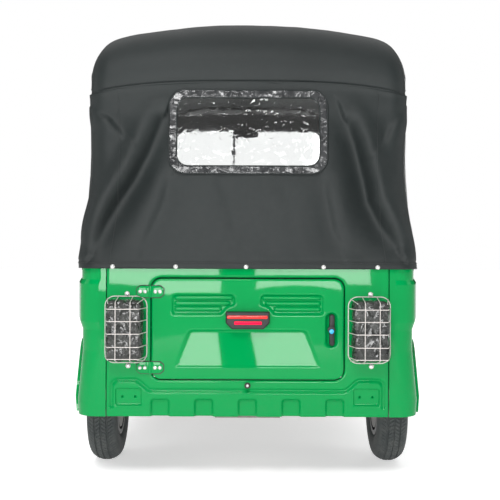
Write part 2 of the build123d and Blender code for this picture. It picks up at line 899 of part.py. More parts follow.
with BuildPart() as headlamps:
    face_y = nose_at(headlamp_x - headlamp_radius * 0.6, headlamp_z) + headlamp_proud
    for side, sign in sides:
        with BuildSketch(Plane(origin=(sign * headlamp_x, face_y, headlamp_z), z_dir=(0, -1, 0))):
            Circle(headlamp_radius)
        extrude(amount=headlamp_length)
    fillet(headlamps.faces().filter_by(Axis.Y).group_by(Axis.Y)[-1].edges(), 12)
finish_part(headlamps, "headlamps")

with BuildPart() as front_indicators:
    for sign in (-1, 1):
        face_y = nose_at(indicator_x - indicator_radius, indicator_z) + indicator_proud
        with BuildSketch(Plane(origin=(sign * indicator_x, face_y, indicator_z), z_dir=(0, -1, 0))):
            Circle(indicator_radius)
        extrude(amount=indicator_length)
finish_part(front_indicators, "front_indicators")

# Windscreen frame and glass: a bowed slab leaned back by its rake
screen_height = screen_top_z - screen_base_z
screen_length = screen_height / cos(radians(screen_rake))
screen_dir = (0, -sin(radians(screen_rake)), cos(radians(screen_rake)))
screen_nose_y = cowl_levels[-1][3] - screen_thickness / 2 - 2


def screen_band(depth, thickness):
    # A bowed band in plan, depth behind the outer face
    half = screen_base_half + 60
    outer_y = screen_nose_y - depth
    with BuildSketch(Plane.XY.offset(screen_base_z)) as band:
        with BuildLine():
            ThreePointArc((-half, outer_y - screen_bow), (0, outer_y), (half, outer_y - screen_bow))
            Line((half, outer_y - screen_bow), (half, outer_y - screen_bow - thickness))
            ThreePointArc(
                (half, outer_y - screen_bow - thickness),
                (0, outer_y - thickness),
                (-half, outer_y - screen_bow - thickness),
            )
            Line((-half, outer_y - screen_bow - thickness), (-half, outer_y - screen_bow))
        make_face()
    extrude(band.sketch, amount=screen_length + 2 * screen_crown, dir=screen_dir)


def screen_outline(inset, corner, crown):
    # Seen from behind: a trapezoid with rounded corners and a crowned top edge
    slope = (screen_base_half - screen_top_half) / screen_height
    low, high = screen_base_z + inset * 0.8, screen_top_z - inset
    half_low = screen_base_half - inset - slope * (low - screen_base_z)
    half_high = screen_base_half - inset - slope * (high - screen_base_z)
    with BuildLine() as outline:
        FilletPolyline(
            (-half_low, low),
            (half_low, low),
            (half_high, high),
            (half_high / 2, high + crown * 0.75),
            (0, high + crown),
            (-half_high / 2, high + crown * 0.75),
            (-half_high, high),
            radius=corner,
            close=True,
        )
    make_face(outline.edges())


screen_cut_plane = Plane(origin=(0, toe_board_y + 400, 0), x_dir=(1, 0, 0), z_dir=(0, -1, 0))
with BuildPart() as windscreen_frame:
    screen_band(0, screen_thickness)
    with BuildSketch(screen_cut_plane):
        screen_outline(0, screen_frame_corner, screen_crown)
    extrude(amount=1200, mode=Mode.INTERSECT)
    with BuildSketch(screen_cut_plane):
        screen_outline(screen_border, screen_corner, glass_crown)
    extrude(amount=1200, mode=Mode.SUBTRACT)
finish_part(windscreen_frame, "windscreen_frame")

with BuildPart() as windscreen_glass:
    screen_band(screen_thickness / 2 - glass_thickness / 2, glass_thickness)
    with BuildSketch(screen_cut_plane):
        screen_outline(screen_border, screen_corner, glass_crown)
    extrude(amount=1200, mode=Mode.INTERSECT)
finish_part(windscreen_glass, "windscreen_glass")

# Dashboard, shaped to the inside of the cowl's top edge
with BuildPart() as dashboard:
    top_ring = cowl_ring(*cowl_levels[-1], skin + seat_gap, 0)
    extrude(top_ring, amount=dash_low_z - cowl_levels[-1][0])
    block(
        (-dash_half, dash_half),
        (dash_y, dash_y + dash_depth),
        (dash_low_z, cowl_levels[-1][0]),
        mode=Mode.INTERSECT,
    )
finish_part(dashboard, "dashboard")

# Mirror at the top of the windscreen, its stem seated on the back of the frame
stem_seat_z = screen_top_z - screen_border / 2
stem_seat_y = screen_nose_y - (stem_seat_z - screen_base_z) * tan(radians(screen_rake)) - screen_thickness
mirror_back_y = stem_seat_y - screen_thickness - mirror_thickness
with BuildPart() as inner_mirror:
    block(
        (mirror_left_x, mirror_right_x),
        (mirror_back_y, mirror_back_y + mirror_thickness),
        (mirror_z - mirror_height / 2, mirror_z + mirror_height / 2),
    )
    stem_x = (mirror_left_x + mirror_right_x) / 2
    rod(
        (stem_x, mirror_back_y + mirror_thickness / 2, mirror_z),
        (stem_x, stem_seat_y - seat_gap, stem_seat_z),
        mirror_stem_radius,
    )
    # The stem's end is cut to the frame's slope
    seat_plane = Plane(
        origin=(0, stem_seat_y - seat_gap, stem_seat_z),
        z_dir=(0, cos(radians(screen_rake)), sin(radians(screen_rake))),
    )
    split(bisect_by=seat_plane, keep=Keep.BOTTOM)
finish_part(inner_mirror, "inner_mirror")

# Passenger bench: base box, firewall, cushion and backrest
with BuildPart() as bench_base:
    block((-bench_base_half, bench_base_half), (firewall_y, bench_front_y), (floor_z, bench_base_z))
    block(
        (-bench_base_half + skin, bench_base_half - skin),
        (firewall_y + skin, bench_front_y - skin),
        (floor_z, bench_base_z - skin),
        mode=Mode.SUBTRACT,
    )
finish_part(bench_base, "bench_base")

with BuildPart() as parcel_shelf:
    z, corner_half, side_half, front = tub_levels[-1]
    shelf_low_z = rail_z - 2 * skin
    shelf_ring = plan_ring(
        shelf_low_z, 0, corner_half, side_half, firewall_y, skin + seat_gap, corner_radius, 0
    )
    extrude(shelf_ring, amount=skin)
    firewall_half = side_half - 2 * skin
    block((-firewall_half, firewall_half), (firewall_y - skin, firewall_y), (bench_base_z, shelf_low_z))
finish_part(parcel_shelf, "parcel_shelf")

with BuildPart() as bench_cushion:
    low = bench_base_z + seat_gap
    block(
        (-bench_half_width, bench_half_width),
        (firewall_y + seat_gap, bench_front_y + seat_overhang),
        (low, low + bench_thickness),
    )
    fillet(bench_cushion.edges(), 25)
finish_part(bench_cushion, "bench_cushion")

with BuildPart() as bench_back:
    shelf_rise = rail_z - skin - bench_base_z - bench_thickness
    back_plane = Plane(
        origin=(0, firewall_y + seat_gap, bench_base_z + bench_thickness + 2 * seat_gap),
        x_dir=(1, 0, 0),
        z_dir=(0, -sin(radians(bench_back_lean)), cos(radians(bench_back_lean))),
    )
    with BuildSketch(back_plane):
        with Locations((0, bench_back_thickness / 2 + shelf_rise * sin(radians(bench_back_lean)) + seat_gap)):
            Rectangle(2 * bench_half_width, bench_back_thickness)
    extrude(amount=bench_back_height)
    fillet(bench_back.edges(), 25)
finish_part(bench_back, "bench_back")

# Driver's seat
with BuildPart() as driver_seat_base:
    base_half = driver_seat_half - seat_overhang
    base_front_y = driver_seat_front_y - seat_overhang
    block((-base_half, base_half), (driver_seat_back_y, base_front_y), (floor_z, driver_base_z))
    block(
        (-base_half + skin, base_half - skin),
        (driver_seat_back_y + skin, base_front_y - skin),
        (floor_z, driver_base_z - skin),
        mode=Mode.SUBTRACT,
    )
finish_part(driver_seat_base, "driver_seat_base")

with BuildPart() as driver_cushion:
    low = driver_base_z + seat_gap
    block(
        (-driver_seat_half, driver_seat_half),
        (driver_seat_back_y, driver_seat_front_y),
        (low, low + driver_cushion_thickness),
    )
    fillet(driver_cushion.edges(), 25)
finish_part(driver_cushion, "driver_cushion")

with BuildPart() as driver_back:
    back_y = partition_y + tube_radius + seat_gap
    block(
        (-driver_seat_half, driver_seat_half),
        (back_y, back_y + driver_back_thickness),
        (driver_back_bottom_z, driver_back_bottom_z + driver_back_height),
    )
    fillet(driver_back.edges(), 20)
finish_part(driver_back, "driver_back")

with BuildPart() as partition_rail:
    bent_tube(
        [
            (-partition_half_width, partition_y, floor_z),
            (-partition_half_width, partition_y, partition_z - 80),
            (-partition_half_width + 80, partition_y, partition_z),
            (partition_half_width - 80, partition_y, partition_z),
            (partition_half_width, partition_y, partition_z - 80),
            (partition_half_width, partition_y, floor_z),
        ],
        60,
        tube_radius,
    )
    rod(
        (-partition_half_width, partition_y, driver_back_bottom_z + 50),
        (partition_half_width, partition_y, driver_back_bottom_z + 50),
        tube_radius,
    )
finish_part(partition_rail, "partition_rail")

# Engine and gearbox as one plain mass, carried on lugs between the rails
with BuildPart() as engine:
    block(
        (-engine_half_width, engine_half_width),
        (engine_rear_y, engine_front_y),
        (engine_bottom_z, engine_top_z),
    )
    block(
        (-gearbox_half_width, gearbox_half_width),
        (engine_front_y, gearbox_front_y),
        (gearbox_bottom_z, gearbox_top_z),
    )
    lug_z = rail_low + rail_height / 2
    lug_x = rail_x - rail_width / 2
    for lug_y in (engine_rear_y + engine_lug_inset, engine_front_y - engine_lug_inset):
        rod((-lug_x, lug_y, lug_z), (lug_x, lug_y, lug_z), engine_lug_radius)
finish_part(engine, "engine")

with BuildPart() as silencer:
    silencer_y = engine_rear_y - silencer_radius - 12
    silencer_z = engine_bottom_z + silencer_radius + 10
    rod((-190, silencer_y, silencer_z), (190, silencer_y, silencer_z), silencer_radius)
    for x in (-90, 90):
        rod((x, silencer_y, silencer_z), (x, engine_rear_y, silencer_z), 16)
finish_part(silencer, "silencer")

# Rear suspension: an arm on each side holds the wheel's bearing, with a shock absorber above it
drum_inner_x = half_track - drum_depth + wheel_disc_thickness + 1
plate_outer_x = drum_inner_x - moving_clearance
boss_inner_x = plate_outer_x - bearing_length
shock_y = rear_axle_y - shock_setback
shock_foot_z = tyre_radius + 12
with BuildPart() as trailing_arms:
    for side, sign in sides:
        boss_inner = (sign * boss_inner_x, rear_axle_y, tyre_radius)
        boss_outer = (sign * plate_outer_x, rear_axle_y, tyre_radius)
        rod(boss_inner, boss_outer, bearing_radius)
        rod((sign * (plate_outer_x - skin), rear_axle_y, tyre_radius), boss_outer, drum_radius + 4)
        arm_end = (sign * (boss_inner_x + 16), rear_axle_y + 20, tyre_radius)
        rod(arm_end, (sign * arm_pivot_x, arm_pivot_y, arm_pivot_z), arm_radius)
        pivot_half = arm_radius + 3
        rod(
            (sign * (arm_pivot_x - pivot_half), arm_pivot_y, arm_pivot_z),
            (sign * (arm_pivot_x + pivot_half), arm_pivot_y, arm_pivot_z),
            arm_radius + 5,
        )
        rod(
            (sign * (shock_x - 20), shock_y, shock_foot_z),
            (sign * (boss_inner_x + 10), rear_axle_y - 18, shock_foot_z),
            14,
        )
        rod(
            (sign * (boss_inner_x - 60), rear_axle_y, tyre_radius),
            (sign * (plate_outer_x + 1), rear_axle_y, tyre_radius),
            spindle_radius + running_clearance,
            mode=Mode.SUBTRACT,
        )
finish_part(trailing_arms, "trailing_arms")

with BuildPart() as rear_shocks:
    for side, sign in sides:
        foot_z = shock_foot_z + 14 + seat_gap
        foot, head = (sign * shock_x, shock_y, foot_z), (sign * shock_x, shock_y, shock_top_z)
        rod(foot, head, 14)
        rod((sign * shock_x, shock_y, foot_z + 70), (sign * shock_x, shock_y, shock_top_z - 12), shock_radius)
finish_part(rear_shocks, "rear_shocks")


def tyre_section(plane):
    # Half widths and radii of the tyre, from bead to tread
    bead_half = tyre_width / 2 - bead_inset
    seat_radius = bead_radius + rim_flange_height + seat_gap
    with BuildSketch(plane) as section:
        with BuildLine():
            Polyline(
                (-bead_half, seat_radius),
                (-bead_half, bead_radius),
                (bead_half, bead_radius),
                (bead_half, seat_radius),
            )
            ThreePointArc(
                (bead_half, seat_radius),
                (tyre_width / 2, (bead_radius + tyre_radius) / 2),
                (tyre_width / 2 - 9, tyre_radius - 20),
            )
            ThreePointArc(
                (tyre_width / 2 - 9, tyre_radius - 20),
                (0, tyre_radius),
                (9 - tyre_width / 2, tyre_radius - 20),
            )
            ThreePointArc(
                (9 - tyre_width / 2, tyre_radius - 20),
                (-tyre_width / 2, (bead_radius + tyre_radius) / 2),
                (-bead_half, seat_radius),
            )
        make_face()
    return section.sketch


def rim_section(plane, sign, inner_reach):
    # Barrel with two flanges, disc, brake drum and hub cap; sign +1 when the outside faces +X
    bead_half = tyre_width / 2 - bead_inset
    low = bead_radius - rim_wall
    lip = bead_radius + rim_flange_height
    with BuildSketch(plane) as section:
        with BuildLine():
            Polyline(
                (sign * -(bead_half + rim_flange_width), low),
                (sign * -(bead_half + rim_flange_width), lip),
                (sign * -bead_half, lip),
                (sign * -bead_half, bead_radius),
                (sign * bead_half, bead_radius),
                (sign * bead_half, lip),
                (sign * (bead_half + rim_flange_width), lip),
                (sign * (bead_half + rim_flange_width), low),
                (sign * (disc_offset + wheel_disc_thickness), low),
                (sign * (disc_offset + wheel_disc_thickness), hub_cap_radius),
                (sign * (disc_offset + hub_cap_depth), hub_cap_radius),
                (sign * (disc_offset + hub_cap_depth), 0),
                (sign * -inner_reach, 0),
                (sign * -inner_reach, drum_radius),
                (sign * disc_offset, drum_radius),
                (sign * disc_offset, low),
                close=True,
            )
        make_face()
    return section.sketch


# Rear wheels with their drums and half shafts
for side, sign in sides:
    hub_plane = wheel_plane(sign * half_track, rear_axle_y)
    axle = Axis((sign * half_track, rear_axle_y, tyre_radius), (1, 0, 0))
    with BuildPart() as rear_tyre:
        revolve(tyre_section(hub_plane), axis=axle)
    finish_part(rear_tyre, f"rear_tyre_{side}")

    with BuildPart() as rear_rim:
        revolve(rim_section(hub_plane, sign, half_track - drum_inner_x), axis=axle)
        rod(
            (sign * (gearbox_half_width + seat_gap), rear_axle_y, tyre_radius),
            (sign * drum_inner_x, rear_axle_y, tyre_radius),
            spindle_radius,
        )
    finish_part(rear_rim, f"rear_rim_{side}")

# Front wheel, turning on a stub axle that the fork holds from one side
front_plane = wheel_plane(0, front_axle_y)
front_axle = Axis((0, front_axle_y, tyre_radius), (1, 0, 0))
with BuildPart() as front_tyre:
    revolve(tyre_section(front_plane), axis=front_axle)
finish_part(front_tyre, "front_tyre")

with BuildPart() as front_rim:
    revolve(rim_section(front_plane, -1, drum_depth - wheel_disc_thickness - 1), axis=front_axle)
    rod(
        (drum_depth, front_axle_y, tyre_radius),
        (-stub_reach - 1, front_axle_y, tyre_radius),
        stub_radius + running_clearance,
        mode=Mode.SUBTRACT,
    )
finish_part(front_rim, "front_rim")

with BuildPart() as front_fork:
    crown = steering_axis_point(crown_z)
    knee_y = steering_axis_point(fork_knee_z)[1]
    fork_points = [
        crown,
        (fork_leg_x, crown[1], crown_z),
        (fork_leg_x, knee_y, fork_knee_z),
        (fork_leg_x, front_axle_y, tyre_radius),
    ]
    bent_tube(fork_points, fork_bend, fork_radius)
    rod(steering_axis_point(crown_z - column_radius * 1.5), steering_axis_point(column_top_z), column_radius)
    # Boss at the foot of the leg, stub axle and brake plate
    rod(
        (fork_leg_x - fork_radius - 4, front_axle_y, tyre_radius),
        (fork_leg_x + fork_radius + 2, front_axle_y, tyre_radius),
        fork_boss_radius,
    )
    rod((fork_leg_x, front_axle_y, tyre_radius), (-stub_reach, front_axle_y, tyre_radius), stub_radius)
    plate_x = drum_depth - wheel_disc_thickness - 1 + moving_clearance
    rod(
        (plate_x, front_axle_y, tyre_radius),
        (plate_x + skin, front_axle_y, tyre_radius),
        drum_radius + brake_plate_rim,
    )
    # Stay that carries the mudguard
    stay_reach = mudguard_radius + seat_gap
    back, rise = crown[1] - front_axle_y, crown_z - tyre_radius
    reach = sqrt(back * back + rise * rise)
    stay_foot = (0, front_axle_y + back / reach * stay_reach, tyre_radius + rise / reach * stay_reach)
    rod(crown, stay_foot, fork_stay_radius)
finish_part(front_fork, "front_fork")

with BuildPart() as front_mudguard:
    outer, inner = mudguard_radius, mudguard_radius - mudguard_wall
    half = mudguard_half_width
    skirt = mudguard_radius - mudguard_skirt
    with BuildSketch(front_plane):
        with BuildLine():
            Polyline(
                (-half, skirt),
                (-half, outer),
                (half, outer),
                (half, skirt),
                (half - mudguard_wall, skirt),
                (half - mudguard_wall, inner),
                (-half + mudguard_wall, inner),
                (-half + mudguard_wall, skirt),
                close=True,
            )
        make_face()
    revolve(axis=front_axle, revolution_arc=360)
    # Keep the upper part, from level with the axle in front to a little lower behind
    with BuildSketch(Plane.YZ.offset(-half - 1)):
        with BuildLine():
            far = mudguard_radius * 2
            Polyline(
                (front_axle_y, tyre_radius),
                (front_axle_y + far, tyre_radius),
                (front_axle_y + far, tyre_radius - far),
                (front_axle_y - far, tyre_radius - far),
                (front_axle_y - far, tyre_radius - mudguard_drop * 2),
                close=True,
            )
        make_face()
    extrude(amount=2 * half + 2, mode=Mode.SUBTRACT)
finish_part(front_mudguard, "front_mudguard")

# Handlebar at the top of the column, swept back to the grips
bar_radius = 12
grip_radius = 17
back_dir = Vector(0, -cos(radians(rake)), -sin(radians(rake)))
up_dir = Vector(0, -sin(radians(rake)), cos(radians(rake)))
bar_centre = Vector(*steering_axis_point(column_top_z)) + up_dir * (bar_radius + seat_gap)


def bar_point(x, back, up):
    return bar_centre + Vector(x, 0, 0) + back_dir * back + up_dir * up


with BuildPart() as handlebar:
    bar_points = [
        bar_point(-360, 135, 20),
        bar_point(-235, 110, 20),
        bar_point(-110, 0, 0),
        bar_point(110, 0, 0),
        bar_point(235, 110, 20),
        bar_point(360, 135, 20),
    ]
    bent_tube(bar_points, 50, bar_radius)
finish_part(handlebar, "handlebar")

with BuildPart() as hand_grips:
    for sign in (-1, 1):
        start = bar_point(sign * 265, 116, 20)
        end = bar_point(sign * 366, 136.2, 20)
        rod(start, end, grip_radius)
        rod(start, bar_point(sign * 360, 135, 20), bar_radius + running_clearance, mode=Mode.SUBTRACT)
finish_part(hand_grips, "hand_grips")
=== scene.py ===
import bmesh
import bpy
import json
import math
import numpy as np
from mathutils import Matrix, Vector, noise


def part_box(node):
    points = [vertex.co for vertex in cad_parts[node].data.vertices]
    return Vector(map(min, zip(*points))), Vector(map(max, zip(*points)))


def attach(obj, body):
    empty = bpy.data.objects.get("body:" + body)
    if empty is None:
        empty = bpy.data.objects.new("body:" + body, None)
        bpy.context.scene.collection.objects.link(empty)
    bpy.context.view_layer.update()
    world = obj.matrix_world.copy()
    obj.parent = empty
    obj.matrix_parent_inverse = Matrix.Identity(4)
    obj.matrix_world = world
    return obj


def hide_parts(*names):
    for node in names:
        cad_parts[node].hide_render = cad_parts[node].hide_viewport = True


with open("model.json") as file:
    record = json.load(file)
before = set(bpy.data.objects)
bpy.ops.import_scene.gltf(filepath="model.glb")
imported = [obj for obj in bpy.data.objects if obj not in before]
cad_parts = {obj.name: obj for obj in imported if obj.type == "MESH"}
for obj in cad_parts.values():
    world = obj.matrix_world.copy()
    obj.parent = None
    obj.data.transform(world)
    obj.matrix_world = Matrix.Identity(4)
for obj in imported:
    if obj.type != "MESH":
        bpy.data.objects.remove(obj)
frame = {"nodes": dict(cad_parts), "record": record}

# Auto rickshaw, in metres: +Y is the way it drives, +X its right side, the floor is z = 0
nodes = frame["nodes"]
scene = bpy.context.scene
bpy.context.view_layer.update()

rearFace = -1.275  # outer face of the rear panel
rearAxleY, frontAxleY = -0.875, 1.125
wheelRadius, wheelSide = 0.212, 0.562
hemHeight = 0.778


def addObject(name, data):
    item = bpy.data.objects.new(name, data)
    scene.collection.objects.link(item)
    return item


def placePiece(name, mesh, material, body, smooth=True):
    piece = addObject(name, mesh)
    mesh.materials.clear()
    mesh.materials.append(material)
    if smooth:
        mesh.shade_smooth()
    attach(piece, body)
    return piece


def meshPiece(name, points, faces, material, body):
    mesh = bpy.data.meshes.new(name)
    mesh.from_pydata([tuple(p) for p in points], [], faces)
    mesh.update()
    return placePiece(name, mesh, material, body)


def editMesh(piece, change):
    mesh = bmesh.new()
    mesh.from_mesh(piece.data)
    change(mesh)
    mesh.to_mesh(piece.data)
    mesh.free()


def faceOutwards(mesh):
    bmesh.ops.recalc_face_normals(mesh, faces=mesh.faces)


def dropLoose(mesh):
    bmesh.ops.delete(mesh, geom=[v for v in mesh.verts if not v.link_faces], context="VERTS")


def shadeByAngle(piece, degrees):
    piece.data.shade_smooth()
    piece.data.set_sharp_from_angle(angle=math.radians(degrees))


def addModifier(piece, kind, **values):
    modifier = piece.modifiers.new(kind.lower(), kind)
    for key, value in values.items():
        setattr(modifier, key, value)


def evaluated(piece):
    graph = bpy.context.evaluated_depsgraph_get()
    graph.update()
    return bpy.data.meshes.new_from_object(piece.evaluated_get(graph))


def gridFaces(rows, columns, wrapRows=False, wrapColumns=False):
    faces = []
    for i in range(rows if wrapRows else rows - 1):
        for j in range(columns if wrapColumns else columns - 1):
            after, right = (i + 1) % rows, (j + 1) % columns
            faces.append((i * columns + j, i * columns + right, after * columns + right, after * columns + j))
    return faces


def filletRun(before, corner, after, radius, steps):
    corner, before, after = Vector(corner), Vector(before), Vector(after)
    u, v = (before - corner).normalized(), (after - corner).normalized()
    half = math.acos(max(-1, min(1, u.dot(v)))) / 2
    reach = radius / math.tan(half)
    middle = corner + (u + v).normalized() * (radius / math.sin(half))
    start, end = (corner + u * reach - middle).normalized(), (corner + v * reach - middle).normalized()
    return [middle + start.slerp(end, k / steps) * radius for k in range(steps + 1)]


def outlinePoints(corners, radii, steps):
    # Rounds the corners of a flat outline; a radius of 0 keeps the corner
    points = []
    for i, corner in enumerate(corners):
        radius = radii[i] if hasattr(radii, "__len__") else radii
        after = corners[(i + 1) % len(corners)]
        points += filletRun(corners[i - 1], corner, after, radius, steps) if radius > 0 else [Vector(corner)]
    return points


def boxOutline(x, z, halfX, halfZ, corner, steps=8):
    corners = [(x - halfX, z - halfZ), (x + halfX, z - halfZ), (x + halfX, z + halfZ), (x - halfX, z + halfZ)]
    return outlinePoints(corners, corner, steps)


def spanOutline(half, low, high, corner, x=0.0):
    return boxOutline(x, (low + high) / 2, half, (high - low) / 2, corner)


def evenPoints(line, count):
    # The line read again at even steps along its length
    steps = [(b - a).length for a, b in zip(line, line[1:])]
    lengths = np.concatenate([[0], np.cumsum(steps)])
    wanted = np.linspace(0, lengths[-1], count)
    columns = [np.interp(wanted, lengths, [p[axis] for p in line]) for axis in range(len(line[0]))]
    return [Vector(p) for p in zip(*columns)]


def addNode(tree, kind, inputs=None, **settings):
    # A node with its settings; each input takes a value or a link
    node = tree.nodes.new(kind)
    for key, value in settings.items():
        setattr(node, key, value)
    for label, value in (inputs or {}).items():
        if isinstance(value, bpy.types.NodeSocket):
            tree.links.new(value, node.inputs[label])
        else:
            node.inputs[label].default_value = value
    return node


def mathNode(tree, operation, a, b=0.5, clamp=False):
    return addNode(tree, "ShaderNodeMath", {0: a, 1: b}, operation=operation, use_clamp=clamp).outputs[0]


def mixColors(tree, factor, a, b):
    return addNode(tree, "ShaderNodeMix", {0: factor, 6: a, 7: b}, data_type="RGBA").outputs[2]


def objectPosition(tree):
    return tree.nodes.new("ShaderNodeTexCoord").outputs["Object"]


def noiseNode(tree, scale, detail=3.0, stretch=None, roughness=0.5):
    position = objectPosition(tree)
    if stretch:
        position = addNode(tree, "ShaderNodeMapping", {"Vector": position, "Scale": stretch}).outputs[0]
    inputs = {"Vector": position, "Scale": scale, "Detail": detail, "Roughness": roughness}
    return addNode(tree, "ShaderNodeTexNoise", inputs).outputs["Fac"]


def rangeNode(tree, value, low, high, toLow=0.0, toHigh=1.0):
    inputs = {"Value": value, "From Min": low, "From Max": high, "To Min": toLow, "To Max": toHigh}
    return addNode(tree, "ShaderNodeMapRange", inputs, interpolation_type="SMOOTHSTEP").outputs["Result"]


def newGroup(name, inputs, outputs):
    # Inputs come with their defaults; a default of four numbers makes a colour
    group = bpy.data.node_groups.new(name, "ShaderNodeTree")
    for label, default in inputs.items():
        kind = "NodeSocketColor" if hasattr(default, "__len__") else "NodeSocketFloat"
        group.interface.new_socket(label, in_out="INPUT", socket_type=kind).default_value = default
    for label in outputs:
        kind = "NodeSocketColor" if label == "Color" else "NodeSocketFloat"
        group.interface.new_socket(label, in_out="OUTPUT", socket_type=kind)
    return group, group.nodes.new("NodeGroupInput").outputs, group.nodes.new("NodeGroupOutput").inputs


def roadDustGroup():
    # Fine dust that thins out upwards, broken up by noise
    group, given, result = newGroup("roadDust", {
        "Color": (0.1, 0.1, 0.1, 1), "Dust": (0.32, 0.27, 0.2, 1), "Amount": 0.3, "Top": 0.5,
        "Roughness": 0.4}, ["Color", "Roughness"])
    height = addNode(group, "ShaderNodeSeparateXYZ", {0: objectPosition(group)}).outputs["Z"]
    mask = mathNode(group, "SUBTRACT", 1.0, mathNode(group, "DIVIDE", height, given["Top"]), clamp=True)
    speckle = rangeNode(group, noiseNode(group, 38, 6, roughness=0.65), 0.3, 0.75)
    cloud = rangeNode(group, noiseNode(group, 5, 3), 0.3, 0.7, 0.4, 1.0)
    for part in (speckle, cloud):
        mask = mathNode(group, "MULTIPLY", mask, part)
    mask = mathNode(group, "MULTIPLY", mask, given["Amount"], clamp=True)
    group.links.new(mixColors(group, mask, given["Color"], given["Dust"]), result["Color"])
    rough = mathNode(group, "ADD", given["Roughness"], mathNode(group, "MULTIPLY", mask, 0.5), clamp=True)
    group.links.new(rough, result["Roughness"])
    return group


def toneGroup():
    # Slow change of tone over a large surface, with finer mottling
    group, given, result = newGroup("toneDrift", {
        "Color": (0.1, 0.1, 0.1, 1), "Second": (0.2, 0.2, 0.2, 1), "Scale": 3.0, "Amount": 0.5,
    }, ["Color"])
    broad = rangeNode(group, noiseNode(group, given["Scale"], 4), 0.32, 0.68)
    fine = noiseNode(group, mathNode(group, "MULTIPLY", given["Scale"], 21.0), 3)
    mask = mathNode(group, "ADD", broad, mathNode(group, "MULTIPLY", fine, 0.5))
    mask = mathNode(group, "MULTIPLY", mathNode(group, "MULTIPLY", mask, 0.66), given["Amount"], clamp=True)
    group.links.new(mixColors(group, mask, given["Color"], given["Second"]), result["Color"])
    return group


def grainGroup():
    # Pebbled grain of coated cloth, with soft dimples between the pebbles
    group, given, result = newGroup("coatedGrain", {"Scale": 900.0, "Weave": 0.3}, ["Height"])
    cells = addNode(group, "ShaderNodeTexVoronoi", {"Vector": objectPosition(group), "Scale": given["Scale"]})
    fine = noiseNode(group, mathNode(group, "MULTIPLY", given["Scale"], 0.35), 4)
    weave = mathNode(group, "MULTIPLY", fine, given["Weave"])
    group.links.new(mathNode(group, "ADD", cells.outputs["Distance"], weave), result["Height"])
    return group


def peelGroup():
    # Faint orange peel of sprayed paint
    group, given, result = newGroup("sprayedPeel", {"Scale": 160.0}, ["Height"])
    group.links.new(noiseNode(group, given["Scale"], 2), result["Height"])
    return group


def crinkleGroup():
    # Sharp creases of stiff clear film
    group, given, result = newGroup("filmCrinkle", {"Scale": 30.0}, ["Height"])
    position = objectPosition(group)
    warp = addNode(group, "ShaderNodeTexNoise", {"Vector": position, "Scale": 14})
    strength = {0: warp.outputs["Color"], "Scale": 0.09}
    small = addNode(group, "ShaderNodeVectorMath", strength, operation="SCALE")
    bent = addNode(group, "ShaderNodeVectorMath", {0: position, 1: small.outputs[0]}, operation="ADD")
    cells = addNode(group, "ShaderNodeTexVoronoi", {"Vector": bent.outputs[0], "Scale": given["Scale"]},
                    feature="DISTANCE_TO_EDGE")
    ridge = rangeNode(group, cells.outputs["Distance"], 0.0, 0.35)
    fold = noiseNode(group, mathNode(group, "MULTIPLY", given["Scale"], 0.8), 2)
    group.links.new(mathNode(group, "ADD", ridge, fold), result["Height"])
    return group


def scuffGroup():
    # Thin scratches in one main direction, as a mask
    group, given, result = newGroup("fineScuffs", {"Scale": 30.0}, ["Mask"])
    streaks = noiseNode(group, given["Scale"], 5, stretch=(1.0, 1.0, 9.0))
    group.links.new(rangeNode(group, streaks, 0.62, 0.7), result["Mask"])
    return group


dustEffect, toneEffect, grainEffect = roadDustGroup(), toneGroup(), grainGroup()
peelEffect, crinkleEffect, scuffEffect = peelGroup(), crinkleGroup(), scuffGroup()


def placeGroup(tree, effect, **values):
    return addNode(tree, "ShaderNodeGroup", values, node_tree=effect).outputs


def startMaterial(name, constants, bump, bumpDepth, bumpReach):
    # A shader with its constants and its bump, which is an effect and its inputs
    material = bpy.data.materials.new(name)
    material.use_nodes = True
    tree = material.node_tree
    shader = tree.nodes["Principled BSDF"]
    for label, value in constants.items():
        shader.inputs[label.replace("_", " ")].default_value = value
    if bump:
        effect, values = bump
        height = placeGroup(tree, effect, **values)["Height"]
        relief = {"Strength": bumpDepth, "Distance": bumpReach, "Height": height}
        tree.links.new(addNode(tree, "ShaderNodeBump", relief).outputs[0], shader.inputs["Normal"])
    return material, tree, shader.inputs


def newMaterial(name, color, second, toneScale=3.0, toneAmount=0.5, roughness=0.5, dust=0.25, dustTop=0.9,
                dustColor=(0.33, 0.29, 0.22, 1), bump=None, bumpDepth=0.1, bumpReach=0.001,
                scuffs=0.0, scuffColor=(0.4, 0.4, 0.4, 1), **constants):
    material, tree, inputs = startMaterial(name, constants, bump, bumpDepth, bumpReach)
    base = placeGroup(tree, toneEffect, Color=(*color, 1), Second=(*second, 1), Scale=toneScale,
                      Amount=toneAmount)["Color"]
    if scuffs:
        mask = placeGroup(tree, scuffEffect, Scale=26.0)["Mask"]
        base = mixColors(tree, mathNode(tree, "MULTIPLY", mask, scuffs), base, scuffColor)
    dusted = placeGroup(tree, dustEffect, Color=base, Dust=dustColor, Amount=dust, Top=dustTop,
                        Roughness=roughness)
    tree.links.new(dusted["Color"], inputs["Base Color"])
    tree.links.new(dusted["Roughness"], inputs["Roughness"])
    return material


def glassMaterial(name, color, roughness, bump=None, bumpDepth=0.5, bumpReach=0.002, **constants):
    constants["Transmission_Weight"] = 1.0
    material, tree, inputs = startMaterial(name, constants, bump, bumpDepth, bumpReach)
    streaks = noiseNode(tree, 9, 5, stretch=(1.0, 1.0, 0.5))
    tree.links.new(rangeNode(tree, streaks, 0.45, 0.8, roughness, roughness + 0.1), inputs["Roughness"])
    darker = [c * 0.93 for c in color]
    tinted = placeGroup(tree, toneEffect, Color=(*color, 1), Second=(*darker, 1), Scale=6.0, Amount=0.6)
    tree.links.new(tinted["Color"], inputs["Base Color"])
    return material


